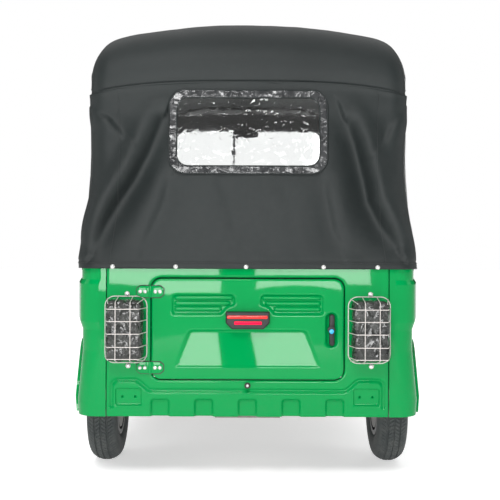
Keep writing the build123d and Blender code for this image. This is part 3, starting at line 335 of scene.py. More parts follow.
bodyPaint = newMaterial(
    "greenPaint", (0.0, 0.245, 0.058), (0.0, 0.215, 0.048), toneScale=1.6, roughness=0.4, dust=0.03,
    dustTop=0.5, bump=(peelEffect, {"Scale": 190.0}), bumpDepth=0.03, bumpReach=0.0004, Coat_Weight=0.5,
    Coat_Roughness=0.03, Coat_IOR=1.38, Specular_IOR_Level=0.0,
)
chassisPaint = newMaterial(
    "blackFramePaint", (0.018, 0.019, 0.02), (0.035, 0.033, 0.03), roughness=0.38, dust=0.5, dustTop=0.7,
    scuffs=0.25, bump=(peelEffect, {"Scale": 260.0}),
)
floorPaint = newMaterial(
    "floorEnamel", (0.03, 0.033, 0.034), (0.06, 0.058, 0.052), dust=0.8, scuffs=0.5,
    bump=(grainEffect, {"Scale": 220.0}), bumpDepth=0.3,
)
wheelPaint = newMaterial(
    "silverWheelPaint", (0.42, 0.43, 0.44), (0.3, 0.31, 0.32), roughness=0.33, dust=0.55, dustTop=0.6,
    scuffs=0.3, scuffColor=(0.12, 0.1, 0.09, 1), bump=(peelEffect, {"Scale": 300.0}), bumpDepth=0.08,
    Metallic=0.75,
)
blackPlastic = newMaterial(
    "blackPlastic", (0.013, 0.014, 0.015), (0.022, 0.022, 0.023), roughness=0.42, dust=0.15,
    bump=(grainEffect, {"Scale": 700.0}), bumpDepth=0.12, bumpReach=0.0004, Specular_IOR_Level=0.22,
)
guardWire = newMaterial(
    "creamCoatedWire", (0.60, 0.56, 0.54), (0.42, 0.39, 0.37), toneScale=9, roughness=0.35, dust=0.1,
    dustTop=1.2, scuffs=0.3, scuffColor=(0.2, 0.17, 0.14, 1),
)
studMetal = newMaterial(
    "brightStuds", (0.8, 0.8, 0.78), (0.6, 0.6, 0.58), toneScale=40, roughness=0.24, dust=0.2, dustTop=1.2,
    Metallic=0.6,
)
hoodVinyl = newMaterial(
    "darkHoodVinyl", (0.0135, 0.0175, 0.0175), (0.0065, 0.009, 0.009), toneScale=2.2, roughness=0.52,
    dust=0.03, dustTop=2.4, dustColor=(0.2, 0.2, 0.18, 1), bump=(grainEffect, {"Scale": 850.0, "Weave": 0.6}),
    bumpDepth=0.35, bumpReach=0.0007, Sheen_Weight=0.02, Sheen_Roughness=0.45, Specular_IOR_Level=0.25,
)
hoodThread = newMaterial("hoodThread", (0.022, 0.026, 0.026), (0.04, 0.044, 0.044), toneScale=60,
                         roughness=0.7)
seatVinyl = newMaterial(
    "seatVinyl", (0.03, 0.031, 0.033), (0.02, 0.02, 0.022), toneScale=4, roughness=0.42, dust=0.2,
    dustTop=1.4, bump=(grainEffect, {"Scale": 520.0, "Weave": 0.5}), bumpDepth=0.3, bumpReach=0.0008,
)
tyreRubber = newMaterial(
    "tyreRubber", (0.024, 0.03, 0.031), (0.04, 0.046, 0.047), toneScale=12, roughness=0.7, dust=0.3,
    dustTop=0.5, dustColor=(0.2, 0.2, 0.18, 1), bump=(grainEffect, {"Scale": 600.0}), bumpDepth=0.25,
)
gripRubber = newMaterial(
    "gripRubber", (0.02, 0.02, 0.021), (0.032, 0.032, 0.034), toneScale=30, roughness=0.68,
    bump=(grainEffect, {"Scale": 420.0}), bumpDepth=0.5,
)
engineMetal = newMaterial(
    "castEngineMetal", (0.2, 0.2, 0.2), (0.11, 0.105, 0.1), toneScale=8, dust=0.7, dustTop=0.8,
    bump=(grainEffect, {"Scale": 260.0}), bumpDepth=0.4, Metallic=0.8,
)
silencerMetal = newMaterial(
    "dullSilencerMetal", (0.22, 0.21, 0.2), (0.16, 0.09, 0.05), toneScale=11, toneAmount=0.9, dust=0.6,
    dustTop=0.7, Metallic=0.8,
)
shockSteel = newMaterial(
    "shockSteel", (0.05, 0.05, 0.055), (0.12, 0.12, 0.12), toneScale=20, roughness=0.35, dust=0.5,
    dustTop=0.8, Metallic=0.7,
)
chrome = newMaterial(
    "brightChrome", (0.78, 0.79, 0.8), (0.68, 0.69, 0.7), toneScale=12, roughness=0.1, dust=0.1, Metallic=1.0,
)
redLens = newMaterial(
    "redLens", (0.68, 0.018, 0.012), (0.56, 0.012, 0.01), toneScale=30, roughness=0.2, dust=0.02, dustTop=1.2,
    Coat_Weight=0.2, Coat_Roughness=0.05, Specular_IOR_Level=0.2,
)
litRedLens = newMaterial(
    "brightRedLens", (0.85, 0.0, 0.04), (0.75, 0.0, 0.03), toneScale=30, roughness=0.3, dust=0.0,
    Specular_IOR_Level=0.1, Emission_Color=(1.0, 0.0, 0.05, 1), Emission_Strength=0.35,
)
smokedLens = newMaterial(
    "wrappedLamp", (0.005, 0.006, 0.006), (0.05, 0.053, 0.048), toneScale=21, toneAmount=0.8, roughness=0.26,
    dust=0.0, bump=(crinkleEffect, {"Scale": 42.0}), bumpDepth=0.85, bumpReach=0.004, Coat_Weight=0.5,
    Coat_Roughness=0.08, Specular_IOR_Level=0.3,
)
amberLens = newMaterial(
    "amberLens", (0.75, 0.24, 0.01), (0.6, 0.17, 0.008), toneScale=30, roughness=0.14, dust=0.1, dustTop=1.2,
    Coat_Weight=0.8, Coat_Roughness=0.05,
)
blueCap = newMaterial("blueLockCap", (0.0, 0.33, 0.62), (0.0, 0.28, 0.55), toneScale=60, roughness=0.3,
                      dust=0.0)
borderFilm = newMaterial(
    "crinkledFilmBorder", (0.012, 0.013, 0.014), (0.06, 0.062, 0.064), toneScale=24, toneAmount=0.9,
    roughness=0.22, dust=0.0, bump=(crinkleEffect, {"Scale": 27.0}), bumpDepth=0.6, bumpReach=0.005,
    Coat_Weight=0.5, Coat_Roughness=0.1, Specular_IOR_Level=0.4,
)
clearLens = glassMaterial("clearLampLens", (0.97, 0.98, 0.98), 0.02, IOR=1.45)
screenGlass = glassMaterial("screenGlass", (0.985, 0.995, 0.99), 0.0, IOR=1.2)
windowFilm = glassMaterial("clearWindowFilm", (0.99, 1.0, 0.995), 0.03, bump=(crinkleEffect, {"Scale": 26.0}),
                           bumpReach=0.0016, IOR=1.36)


def paintShadeOnInnerRims(material):
    # Painted shade: between the wheels a mask picks the inner faces of the rear rims and paints them near
    # black
    tree = material.node_tree
    x = addNode(tree, "ShaderNodeSeparateXYZ", {0: objectPosition(tree)}).outputs["X"]
    sideways = mathNode(tree, "ABSOLUTE", x)
    pastFront = rangeNode(tree, sideways, 0.2, 0.3)
    beforeDisc = rangeNode(tree, sideways, wheelSide - 0.016, wheelSide - 0.010, 1.0, 0.0)
    base = tree.nodes["Principled BSDF"].inputs["Base Color"]
    mask = mathNode(tree, "MULTIPLY", pastFront, beforeDisc)
    tree.links.new(mixColors(tree, mask, base.links[0].from_socket, (0.03, 0.031, 0.032, 1)), base)


# Painted shade on the inner faces of the rear rims
paintShadeOnInnerRims(wheelPaint)
slotFinish = {
    "body_paint": bodyPaint, "chassis_paint": chassisPaint, "floor_paint": floorPaint,
    "wheel_paint": wheelPaint, "lamp_red": redLens, "lamp_body": smokedLens, "lamp_clear": clearLens,
    "lamp_amber": amberLens, "black_plastic": blackPlastic, "guard_wire": guardWire,
    "hood_vinyl": hoodVinyl, "clear_film": windowFilm, "screen_glass": screenGlass,
    "seat_vinyl": seatVinyl, "engine_metal": engineMetal, "silencer_metal": silencerMetal,
    "shock_steel": shockSteel, "tyre": tyreRubber, "grip_rubber": gripRubber,
}
slotOfNode = {part["node"]: part["material_slot"] for part in frame["record"]["subparts"]}
for nodeName, node in nodes.items():
    finish = chassisPaint if nodeName == "windscreen_frame" else slotFinish[slotOfNode[nodeName]]
    if not node.material_slots:
        node.data.materials.append(finish)
    for materialSlot in node.material_slots:
        materialSlot.material = finish
print("finishes: done")


def newTree(name, inputs):
    tree = bpy.data.node_groups.new(name, "GeometryNodeTree")
    addSocket = tree.interface.new_socket
    addSocket("Geometry", in_out="INPUT", socket_type="NodeSocketGeometry")
    for label, default in inputs.items():
        addSocket(label, in_out="INPUT", socket_type="NodeSocketFloat").default_value = default
    addSocket("Material", in_out="INPUT", socket_type="NodeSocketMaterial")
    addSocket("Geometry", in_out="OUTPUT", socket_type="NodeSocketGeometry")
    return tree, tree.nodes.new("NodeGroupInput").outputs


def endTree(tree, given, geometry):
    realized = addNode(tree, "GeometryNodeRealizeInstances", {0: geometry})
    shade = addNode(tree, "GeometryNodeSetShadeSmooth", {0: realized.outputs[0], "Shade Smooth": True})
    paint = addNode(tree, "GeometryNodeSetMaterial", {0: shade.outputs[0], "Material": given["Material"]})
    addNode(tree, "NodeGroupOutput", {0: paint.outputs[0]})
    return tree


def wireTree():
    # Polylines become round wire with rounded corners
    tree, given = newTree("roundWire", {"Wire Radius": 0.002, "Corner Radius": 0.01, "Sides": 8})
    curve = addNode(tree, "GeometryNodeMeshToCurve", {0: given["Geometry"]}).outputs[0]
    bend = addNode(tree, "GeometryNodeFilletCurve", {
        "Curve": curve, "Radius": given["Corner Radius"], "Count": 6, "Limit Radius": True}, mode="POLY")
    ring = addNode(tree, "GeometryNodeCurvePrimitiveCircle", {
        "Radius": given["Wire Radius"], "Resolution": given["Sides"]})
    tube = addNode(tree, "GeometryNodeCurveToMesh", {
        "Curve": bend.outputs[0], "Profile Curve": ring.outputs[0], "Fill Caps": True})
    return endTree(tree, given, tube.outputs[0])


def placeOnPoints(tree, given, points, instance, direction):
    turn = addNode(tree, "FunctionNodeAlignRotationToVector", {"Vector": direction}, axis="Z")
    place = addNode(tree, "GeometryNodeInstanceOnPoints", {
        "Points": points, "Instance": instance, "Rotation": turn.outputs[0]})
    return endTree(tree, given, place.outputs[0])


def stitchTree():
    # Short rounded stitches along polylines
    tree, given = newTree("runOfStitches", {"Pitch": 0.006, "Length": 0.004, "Thickness": 0.0009})
    curve = addNode(tree, "GeometryNodeMeshToCurve", {0: given["Geometry"]}).outputs[0]
    along = {"Curve": curve, "Length": given["Pitch"]}
    spaced = addNode(tree, "GeometryNodeCurveToPoints", along, mode="LENGTH").outputs
    thread = addNode(tree, "GeometryNodeMeshCylinder", {
        "Vertices": 6, "Radius": given["Thickness"], "Depth": given["Length"]}, fill_type="TRIANGLE_FAN")
    return placeOnPoints(tree, given, spaced["Points"], thread.outputs["Mesh"], spaced["Tangent"])


def studTree():
    # Domed heads on a washer, turned to the "facing" attribute of each point
    tree, given = newTree("domedStuds", {"Radius": 0.006, "Height": 0.003, "Sides": 16})
    head = addNode(tree, "GeometryNodeMeshUVSphere", {
        "Rings": 8, "Radius": given["Radius"], "Segments": given["Sides"]})
    share = mathNode(tree, "DIVIDE", given["Height"], given["Radius"])
    size = addNode(tree, "ShaderNodeCombineXYZ", {0: 1.0, 1: 1.0, 2: share}).outputs[0]
    flat = addNode(tree, "GeometryNodeTransform", {"Geometry": head.outputs["Mesh"], "Scale": size})
    washer = addNode(tree, "GeometryNodeMeshCylinder", {
        "Radius": mathNode(tree, "MULTIPLY", given["Radius"], 1.3), "Vertices": given["Sides"],
        "Depth": mathNode(tree, "MULTIPLY", given["Height"], 0.5)})
    both = addNode(tree, "GeometryNodeJoinGeometry", {0: flat.outputs[0]})
    tree.links.new(washer.outputs["Mesh"], both.inputs[0])
    facing = addNode(tree, "GeometryNodeInputNamedAttribute", {"Name": "facing"}, data_type="FLOAT_VECTOR")
    return placeOnPoints(tree, given, given["Geometry"], both.outputs[0], facing.outputs["Attribute"])


wireMaker, stitchMaker, studMaker = wireTree(), stitchTree(), studTree()


def growFrom(name, tree, lines, material, body, facing=None, **values):
    # Runs a tree on points or polylines and keeps the result as a plain mesh
    points, edges = [], []
    for line in lines:
        start = len(points)
        points += [tuple(p) for p in line]
        edges += [(start + i, start + i + 1) for i in range(len(line) - 1)]
    seed = bpy.data.meshes.new(name + "Seed")
    seed.from_pydata(points, edges, [])
    if facing:
        attribute = seed.attributes.new("facing", "FLOAT_VECTOR", "POINT")
        attribute.data.foreach_set("vector", [c for f in facing for c in f])
    carrier = addObject(name + "Seed", seed)
    modifier = carrier.modifiers.new("grow", "NODES")
    modifier.node_group = tree
    for item in tree.interface.items_tree:
        if item.in_out == "INPUT" and item.name == "Material":
            modifier[item.identifier] = material
        elif item.in_out == "INPUT" and item.name.replace(" ", "_") in values:
            modifier[item.identifier] = float(values[item.name.replace(" ", "_")])
    mesh = evaluated(carrier)
    bpy.data.objects.remove(carrier)
    mesh.name = name
    return placePiece(name, mesh, material, body, smooth=False)


def growWires(name, lines, material, body, radius, bend=0.0, sides=8):
    return growFrom(name, wireMaker, lines, material, body,
                    Wire_Radius=radius, Corner_Radius=bend, Sides=sides)


def growStuds(name, spots, material, body, radius, height, sides, facing=(0, -1, 0)):
    # One direction for all the studs, or one for each
    directions = facing if hasattr(facing[0], "__len__") else [facing] * len(spots)
    return growFrom(name, studMaker, [[p] for p in spots], material, body, directions,
                    Radius=radius, Height=height, Sides=sides)


tyre = {
    # half width and radius of the side, from the bead up to the tread
    "side": [(0.046, 0.1015), (0.046, 0.1135), (0.0485, 0.1165), (0.0545, 0.127), (0.0578, 0.142),
             (0.059, 0.158), (0.0583, 0.172), (0.0562, 0.181), (0.0543, 0.1848), (0.0525, 0.1880),
             (0.0492, 0.1925)],
    "treadHalf": 0.044, "treadRows": 47, "crownDrop": 0.015, "around": 336,
    "grooves": (-0.023, 0.0, 0.023), "grooveHalf": 0.0032, "grooveDepth": 0.0055,
    "sipeDepth": 0.0035, "sipeShare": 0.26, "sipeSlant": 42, "plain": (0.023, 0.028),
}


def treadRadius(x, i):
    # The crowned tread with three grooves and slanted sipes, one in four steps around
    t = tyre
    radius = wheelRadius - t["crownDrop"] * abs(x / t["treadHalf"]) ** 2.4
    groove = max(max(0.0, 1 - (abs(x - g) / t["grooveHalf"]) ** 4) for g in t["grooves"])
    low, high = t["plain"]
    slant = 1.0 if (x > 0) == (abs(x) <= low) else -1.0
    sipe = groove < 0.1 and (i / 4 + slant * x * t["sipeSlant"]) % 1.0 < t["sipeShare"]
    return radius - t["grooveDepth"] * groove - (t["sipeDepth"] if sipe and not low < abs(x) <= high else 0.0)


def makeTyre(name, middleX, middleY, node, body):
    side, around = tyre["side"], tyre["around"]
    treadX = [share * tyre["treadHalf"] for share in np.linspace(1, -1, tyre["treadRows"])]
    points = []
    for i in range(around):
        angle = 2 * math.pi * i / around
        section = side + [(x, treadRadius(x, i)) for x in treadX] + [(-x, r) for x, r in reversed(side)]
        points += [(middleX + x, middleY + r * math.sin(angle), wheelRadius + r * math.cos(angle))
                   for x, r in section]
    faces = gridFaces(around, len(points) // around, wrapRows=True, wrapColumns=True)
    piece = meshPiece(name, points, faces, tyreRubber, body)
    editMesh(piece, faceOutwards)
    shadeByAngle(piece, 35)
    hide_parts(node)


makeTyre("rearTyreLeft", -wheelSide, rearAxleY, "rear_tyre_left", "rear_wheel_left")
makeTyre("rearTyreRight", wheelSide, rearAxleY, "rear_tyre_right", "rear_wheel_right")
makeTyre("frontTyre", 0, frontAxleY, "front_tyre", "front_wheel")

wheelNuts = {"count": 4, "circle": 0.052, "seat": 0.0155, "radius": 0.009, "height": 0.009}
valve = {"foot": (0.012, 0.088), "tip": (0.03, 0.079), "radius": 0.0035}
for name, x, y, side, body in (
    ("rearNutsLeft", -wheelSide, rearAxleY, -1, "rear_wheel_left"),
    ("rearNutsRight", wheelSide, rearAxleY, 1, "rear_wheel_right"),
    ("frontNuts", 0, frontAxleY, -1, "front_wheel"),
):
    turns = [2 * math.pi * (k + 0.5) / wheelNuts["count"] for k in range(wheelNuts["count"])]
    spots = [(x + side * wheelNuts["seat"], y + wheelNuts["circle"] * math.cos(turn),
              wheelRadius + wheelNuts["circle"] * math.sin(turn)) for turn in turns]
    growStuds(name, spots, studMetal, body, wheelNuts["radius"], wheelNuts["height"], 6, facing=(side, 0, 0))
    stem = [(x + side * out, y, wheelRadius + up) for out, up in (valve["foot"], valve["tip"])]
    growWires(name + "Valve", [stem], blackPlastic, body, valve["radius"], sides=10)
print("wheels: done")


hood = {
    # height, lean forward of the rear face, half width at the rear corners and at the sides, front edge
    "levels": [(0.778, -0.008, 0.600, 0.658, -0.700), (0.95, 0.006, 0.580, 0.632, -0.664),
               (1.15, 0.022, 0.563, 0.612, -0.620), (1.387, 0.038, 0.577, 0.604, -0.560),
               (1.49, 0.045, 0.571, 0.590, -0.515)],
    "cornerRadius": 0.07, "taperRadius": 0.3, "taperY": -1.0, "rearY": -1.15, "rows": 96, "thickness": 0.0026,
    "creaseDrop": 0.045, "creaseTop": 1.459, "creaseHalf": 0.58, "flapEnd": 1.478, "seam": 0.500,
    "hemRow": 3, "stitchRise": 0.023, "threadLift": 0.0008, "tuck": 0.012, "foldReach": 0.16,
    "hemThick": 0.0016, "scallop": 0.0035, "bowLift": 0.007,
    "snaps": (-0.487, -0.259, -0.009, 0.273, 0.4675), "sideSnaps": (-0.98, -0.80),
    # valleys from the window's corners to the hem, with a ridge on their outer side: depth, width, line
    "folds": [
        (0.036, 0.036, [(-0.31, 1.32), (-0.36, 1.20), (-0.414, 1.097), (-0.465, 1.02), (-0.515, 0.93),
                        (-0.555, 0.85)]),
        (0.036, 0.036, [(0.36, 1.30), (0.386, 1.237), (0.422, 1.097), (0.436, 1.02), (0.475, 0.94),
                        (0.53, 0.86)]),
        (0.010, 0.022, [(-0.555, 1.36), (-0.50, 1.33), (-0.44, 1.26)]),
        (0.008, 0.024, [(0.565, 1.36), (0.52, 1.31), (0.47, 1.22)]),
        (0.007, 0.034, [(-0.28, 1.10), (-0.30, 1.02), (-0.34, 0.93), (-0.37, 0.86)]),
        (0.007, 0.034, [(0.27, 1.10), (0.28, 1.02), (0.30, 0.92), (0.33, 0.85)]),
        (0.002, 0.04, [(-0.10, 1.09), (-0.06, 1.0), (-0.04, 0.9)]),
    ],
}
windowCut = {"half": 0.262, "low": 1.150, "high": 1.401, "corner": 0.044}


def clamp(value):
    return max(0.0, min(1.0, value))


def bell(value, width):
    return math.exp(-(value / width) ** 2)


def between(levels, z):
    # Smooth reading of the levels' columns at one height
    rows = np.array(levels)
    if z <= rows[0, 0]:
        return rows[0, 1:]
    last = len(rows) - 1
    k = min(int(np.searchsorted(rows[1:, 0], z)), last - 1)
    s = (z - rows[k, 0]) / (rows[k + 1, 0] - rows[k, 0])
    a, b = rows[k, 1:], rows[k + 1, 1:]
    ta = (b - rows[k - 1, 1:]) / 2 if k > 0 else b - a
    tb = (rows[k + 2, 1:] - a) / 2 if k < last - 1 else b - a
    s2, s3 = s * s, s ** 3
    return a * (2 * s3 - 3 * s2 + 1) + ta * (s3 - 2 * s2 + s) + b * (3 * s2 - 2 * s3) + tb * (s3 - s2)


def straight(a, b, count):
    a, b = Vector(a), Vector(b)
    return [a.lerp(b, k / count) for k in range(1, count)]


def planRing(z):
    # Plan line of the hood at one height: left side, rear and right side, always with as many points
    lean, corner, side, front = between(hood["levels"], z)
    back = rearFace + lean
    left = [(-side, front), (-side, hood["taperY"]), (-corner, back), (0, back)]
    taper = filletRun(*left[:3], hood["taperRadius"], 12)
    bend = filletRun(*left[1:], hood["cornerRadius"], 12)
    half = [Vector(left[0])] + straight(left[0], taper[0], 30) + taper
    half += straight(taper[-1], bend[0], 8) + bend + straight(bend[-1], left[3], 84)
    return half + [Vector(left[3])] + [Vector((-p.x, p.y)) for p in reversed(half)]


def creaseAt(x, y):
    # The crease is arched over the rear and meets the roof's side flaps
    rear = clamp((-1.0 - y) / 0.2)
    arch = hood["creaseTop"] - hood["creaseDrop"] * min(1.0, abs(x) / hood["creaseHalf"]) ** 3.2
    return arch * rear + (1 - rear) * hood["flapEnd"]


def foldPush(x, z):
    # Depth of the sewn-in creases at one place of the rear face; positive is outwards
    push = 0.0
    for depth, width, line in hood["folds"]:
        best, bestSide, bestShare = 9.0, 0.0, 0.0
        for k, ((ax, az), (bx, bz)) in enumerate(zip(line, line[1:])):
            dx, dz = bx - ax, bz - az
            t = clamp(((x - ax) * dx + (z - az) * dz) / (dx * dx + dz * dz))
            gap = math.hypot(x - ax - t * dx, z - az - t * dz)
            if gap < best:
                best, bestShare = gap, (k + t) / (len(line) - 1)
                bestSide = ((x - ax) * dz - (z - az) * dx) * (1.0 if ax < 0 else -1.0)
        if best <= hood["foldReach"]:
            signed = best if bestSide > 0 else -best
            ends = math.sin(math.pi * min(1.0, 0.08 + bestShare * 0.86)) ** 0.6
            valley = bell(signed, width * (0.5 if signed > 0 else 1.5))
            push += depth * ends * (0.75 * bell(signed - width * 1.5, width * 1.1) - valley)
    return push


def clothDrift(p, scale, seed=0.0):
    return noise.noise(Vector((p[0] / scale + seed, p[1] / scale, p[2] / scale)))


def insideCut(x, z, cut):
    # Distance to the rounded outline of a cut, negative inside
    half, low, high, r = cut["half"], cut["low"], cut["high"], cut["corner"]
    qx, qz = abs(x) - (half - r), abs(z - (low + high) / 2) - ((high - low) / 2 - r)
    return math.hypot(max(qx, 0), max(qz, 0)) + min(max(qx, qz), 0) - r


def hoodPush(x, y, z):
    # How far the cloth stands off its plain shape
    above, below = z - hemHeight, creaseAt(x, y) - z
    rear = clamp((-1.10 - y) / 0.12)
    held = max(0.0, min(1.0, above / 0.03) * min(1.0, below / 0.05))
    push = foldPush(x, z) * rear * held if rear > 0 else 0.0
    drift = 0.0030 * clothDrift((x, y, z * 0.6), 0.16) + 0.0010 * clothDrift((x, y, z * 0.7), 0.05, 7)
    push += drift * min(1.0, above / 0.06 + 0.25)
    # Scallops between the studs that hold the hem
    scallop = hood["scallop"] * math.exp(-above / 0.05)
    if y < hood["rearY"]:
        push += scallop * min(1.0, min(abs(x - s) for s in hood["snaps"]) / 0.11)
    else:
        push += scallop * abs(math.sin((y + 1.1) / 0.24 * math.pi))
        push += 0.004 * math.sin(z * 9 + y * 14) * bell(z - 1.1, 0.25)
    # Folded hem, a little thicker under its stitching
    if above < hood["stitchRise"]:
        push += hood["hemThick"]
    elif above < hood["stitchRise"] + 0.008:
        push -= 0.0012
    # The bow in the crease lifts the cloth
    push += hood["bowLift"] * bell(below, 0.018) * rear
    return push + 0.004 * bell(below - 0.06, 0.05) * rear * (abs(x) / hood["creaseHalf"]) ** 4


def makeHoodWall():
    foot = planRing(hemHeight)
    rows, columns = hood["rows"], len(foot)
    points = np.zeros((rows + 1, columns, 3))
    rings = {}
    for j, base in enumerate(foot):
        # The sides run up behind the roof's flaps
        top = creaseAt(base.x, base.y) + hood["tuck"] * clamp((base.y + 1.25) / 0.06)
        for i in range(rows + 1):
            z = hemHeight + (top - hemHeight) * i / rows
            key = round(z, 3)
            if key not in rings:
                rings[key] = planRing(key)
            points[i, j] = (*rings[key][j], z)
    outward = np.cross(np.gradient(points, axis=1), np.gradient(points, axis=0))
    outward /= np.linalg.norm(outward, axis=2, keepdims=True)
    push = np.array([[hoodPush(*p) for p in line] for line in points])
    faces = []
    for i in range(rows):
        for j in range(columns - 1):
            x = (points[i, j, 0] + points[i, j + 1, 0]) / 2
            z = (points[i, j, 2] + points[i + 1, j, 2]) / 2
            if points[i, j, 1] >= hood["rearY"] or insideCut(x, z, windowCut) >= 0:
                a = i * columns + j
                faces.append((a, a + 1, a + columns + 1, a + columns))
    return points + outward * push[..., None], faces


def snapToCut(grid, faces):
    # Moves the ragged edge of the window's cut onto its rounded outline
    uses = {}
    for face in faces:
        for k in range(4):
            edge = tuple(sorted((face[k], face[(k + 1) % 4])))
            uses[edge] = uses.get(edge, 0) + 1
    rim = {v for edge, count in uses.items() if count == 1 for v in edge}
    for v in rim:
        i, j = divmod(v, grid.shape[1])
        x, y, z = grid[i, j]
        gap = insideCut(x, z, windowCut)
        if y < hood["rearY"] and abs(gap) < 0.03 and abs(x) < 0.4 and 1.0 < z < 1.44:
            step = 0.0005
            grid[i, j, 0] -= gap * (insideCut(x + step, z, windowCut) - gap) / step
            grid[i, j, 2] -= gap * (insideCut(x, z + step, windowCut) - gap) / step


hoodGrid, hoodFaces = makeHoodWall()
hoodRows, hoodColumns = hoodGrid.shape[:2]
snapToCut(hoodGrid, hoodFaces)
hoodWall = meshPiece("hoodWall", hoodGrid.reshape(-1, 3), hoodFaces, hoodVinyl, "chassis")
editMesh(hoodWall, dropLoose)
addModifier(hoodWall, "SOLIDIFY", thickness=hood["thickness"], offset=-1.0)
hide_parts("canopy_rear", "canopy_sides")


def hoodPoint(i, j, lift):
    a, b = hoodGrid[i, max(j - 1, 0)], hoodGrid[i, min(j + 1, hoodColumns - 1)]
    c, d = hoodGrid[max(i - 1, 0), j], hoodGrid[min(i + 1, hoodRows - 1), j]
    return Vector(hoodGrid[i, j]) + Vector(np.cross(b - a, d - c)).normalized() * lift


def columnNear(x):
    rear = [j for j in range(hoodColumns) if hoodGrid[0, j, 1] < hood["rearY"]]
    return min(rear, key=lambda j: abs(hoodGrid[0, j, 0] - x))


# Roof: arches along Y, then a rounded fall to the crease over the rear bow
roof = {
    # station along Y, half width, eave, knee, shoulder half width, shoulder height, crown
    "stations": [(0.648, 0.496, 1.552, 1.600, 0.440, 1.632, 1.652),
                 (0.25, 0.533, 1.522, 1.570, 0.463, 1.642, 1.677),
                 (-0.15, 0.566, 1.495, 1.545, 0.482, 1.648, 1.692),
                 (-0.62, 0.583, 1.476, 1.540, 0.492, 1.652, 1.700),
                 (-1.085, 0.596, 1.458, 1.530, 0.500, 1.646, 1.702)],
    "across": 97, "along": 120, "fall": 34, "overhang": 0.042, "thickness": 0.003, "bowDip": 0.006,
    "bows": (0.62, 0.20, -0.28, -0.76, -1.16),
}
flapY, flapHalf, flapEave = roof["stations"][-1][:3]


def archPoints(half, eave, knee, shoulderX, shoulderZ, crown, count):
    # A smooth arch from the left eave over the crown to the right eave
    rise = crown - shoulderZ
    corners = [(-half, eave), (-half + 0.002, (eave + knee) / 2 + 0.01), (-half + 0.008, knee),
               ((-half - shoulderX) / 2 - 0.008, (knee + shoulderZ) / 2 + 0.012), (-shoulderX, shoulderZ),
               (-shoulderX * 0.72, shoulderZ + rise * 0.52), (-shoulderX * 0.38, shoulderZ + rise * 0.87)]
    line = [Vector(p) for p in corners + [(0, crown)] + [(-x, z) for x, z in reversed(corners)]]
    fine = []
    for p0, p1, p2, p3 in zip([line[0]] + line, line, line[1:], line[2:] + [line[-1]]):
        for s in range(12):
            t = s / 12
            fine.append(0.5 * ((2 * p1) + (p2 - p0) * t + (2 * p0 - 5 * p1 + 4 * p2 - p3) * t * t
                               + (3 * p1 - p0 - 3 * p2 + p3) * t ** 3))
    return evenPoints(fine + [line[-1]], count)


def creaseLine(count):
    # The crease from the end of the left roof flap, round the rear, to the right one
    rear = [p for p in planRing(1.46) if p.y <= flapY + 0.001]
    line = [(p.x, p.y, creaseAt(p.x, p.y) - 0.002) for p in rear]
    ends = [(side * flapHalf, flapY, flapEave) for side in (-1, 1)]
    return evenPoints([Vector(p) for p in ends[:1] + line + ends[1:]], count)


def makeRoof():
    count, fall = roof["across"], roof["fall"]
    backwards = [(-station[0], *station[1:]) for station in roof["stations"]]
    rows = []
    for y in np.linspace(roof["stations"][0][0], flapY, roof["along"]):
        shape = between(backwards, -y)
        dip = roof["bowDip"] * min(1.0, min(abs(y - bow) for bow in roof["bows"]) / 0.22) ** 1.4
        row = []
        for x, z in archPoints(*shape, count):
            top = clamp((z - shape[2]) / 0.06)
            wrinkle = 0.0022 * clothDrift((x * 0.7, y, z), 0.14, 3) + 0.0008 * clothDrift((x, y, z), 0.045, 9)
            sway = math.copysign(1, x) * (1 - top) * (wrinkle + 0.002 * math.sin(y * 17))
            row.append(Vector((x + sway, y, z - dip * top + wrinkle * top)))
        rows.append(row)
    arch, crease = rows[-1], creaseLine(count)
    for i in range(1, fall + 1):
        w = i / fall
        row = []
        for j, (a, c) in enumerate(zip(arch, crease)):
            over = roof["overhang"] * (1 - abs(2 * j / (count - 1) - 1) ** 6)
            gone, drop = max(0.0, a.y - c.y), max(0.0, a.z - c.z)
            b1 = a + Vector((0, -gone * 0.55, -drop * 0.10))
            b2 = Vector((a.x * 0.35 + c.x * 0.65, c.y - over, c.z + drop * 0.58))
            p = a * (1 - w) ** 3 + b1 * (3 * w * (1 - w) ** 2) + b2 * (3 * w * w * (1 - w)) + c * w ** 3
            row.append(p + Vector((0, 0.0025 * clothDrift(p, 0.12, 5) * math.sin(math.pi * w), 0)))
        rows.append(row)
    return rows


roofRows = makeRoof()
roofFaces = gridFaces(len(roofRows), roof["across"])
roofCover = meshPiece("roofCover", [p for row in roofRows for p in row], roofFaces, hoodVinyl, "chassis")
addModifier(roofCover, "SOLIDIFY", thickness=roof["thickness"], offset=-1.0)
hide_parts("canopy_roof")

# Piping in the crease, binding along the roof's edges, then the stitching of the hem and the side seams
creaseCord = [p + Vector((0, -0.003 if p.y < -1.2 else 0, -0.001)) for p in creaseLine(111)]
growWires("creasePiping", [creaseCord], hoodVinyl, "chassis", 0.0055)
roofEdges = [[row[column] for row in roofRows[:roof["along"]:2]] for column in (0, -1)] + [roofRows[0][::2]]
growWires("roofEdgeBinding", roofEdges, hoodVinyl, "chassis", 0.004, sides=6)
stitchRuns = [[hoodPoint(hood["hemRow"], j, hood["threadLift"]) for j in range(hoodColumns)]]
for x in (-hood["seam"], hood["seam"]):
    column = columnNear(x)
    stitchRuns.append([hoodPoint(i, column, hood["threadLift"]) for i in range(hood["hemRow"], hoodRows - 2)])
growFrom("hoodStitching", stitchMaker, stitchRuns, hoodThread, "chassis", Pitch=0.0075, Length=0.005,
         Thickness=0.0009)

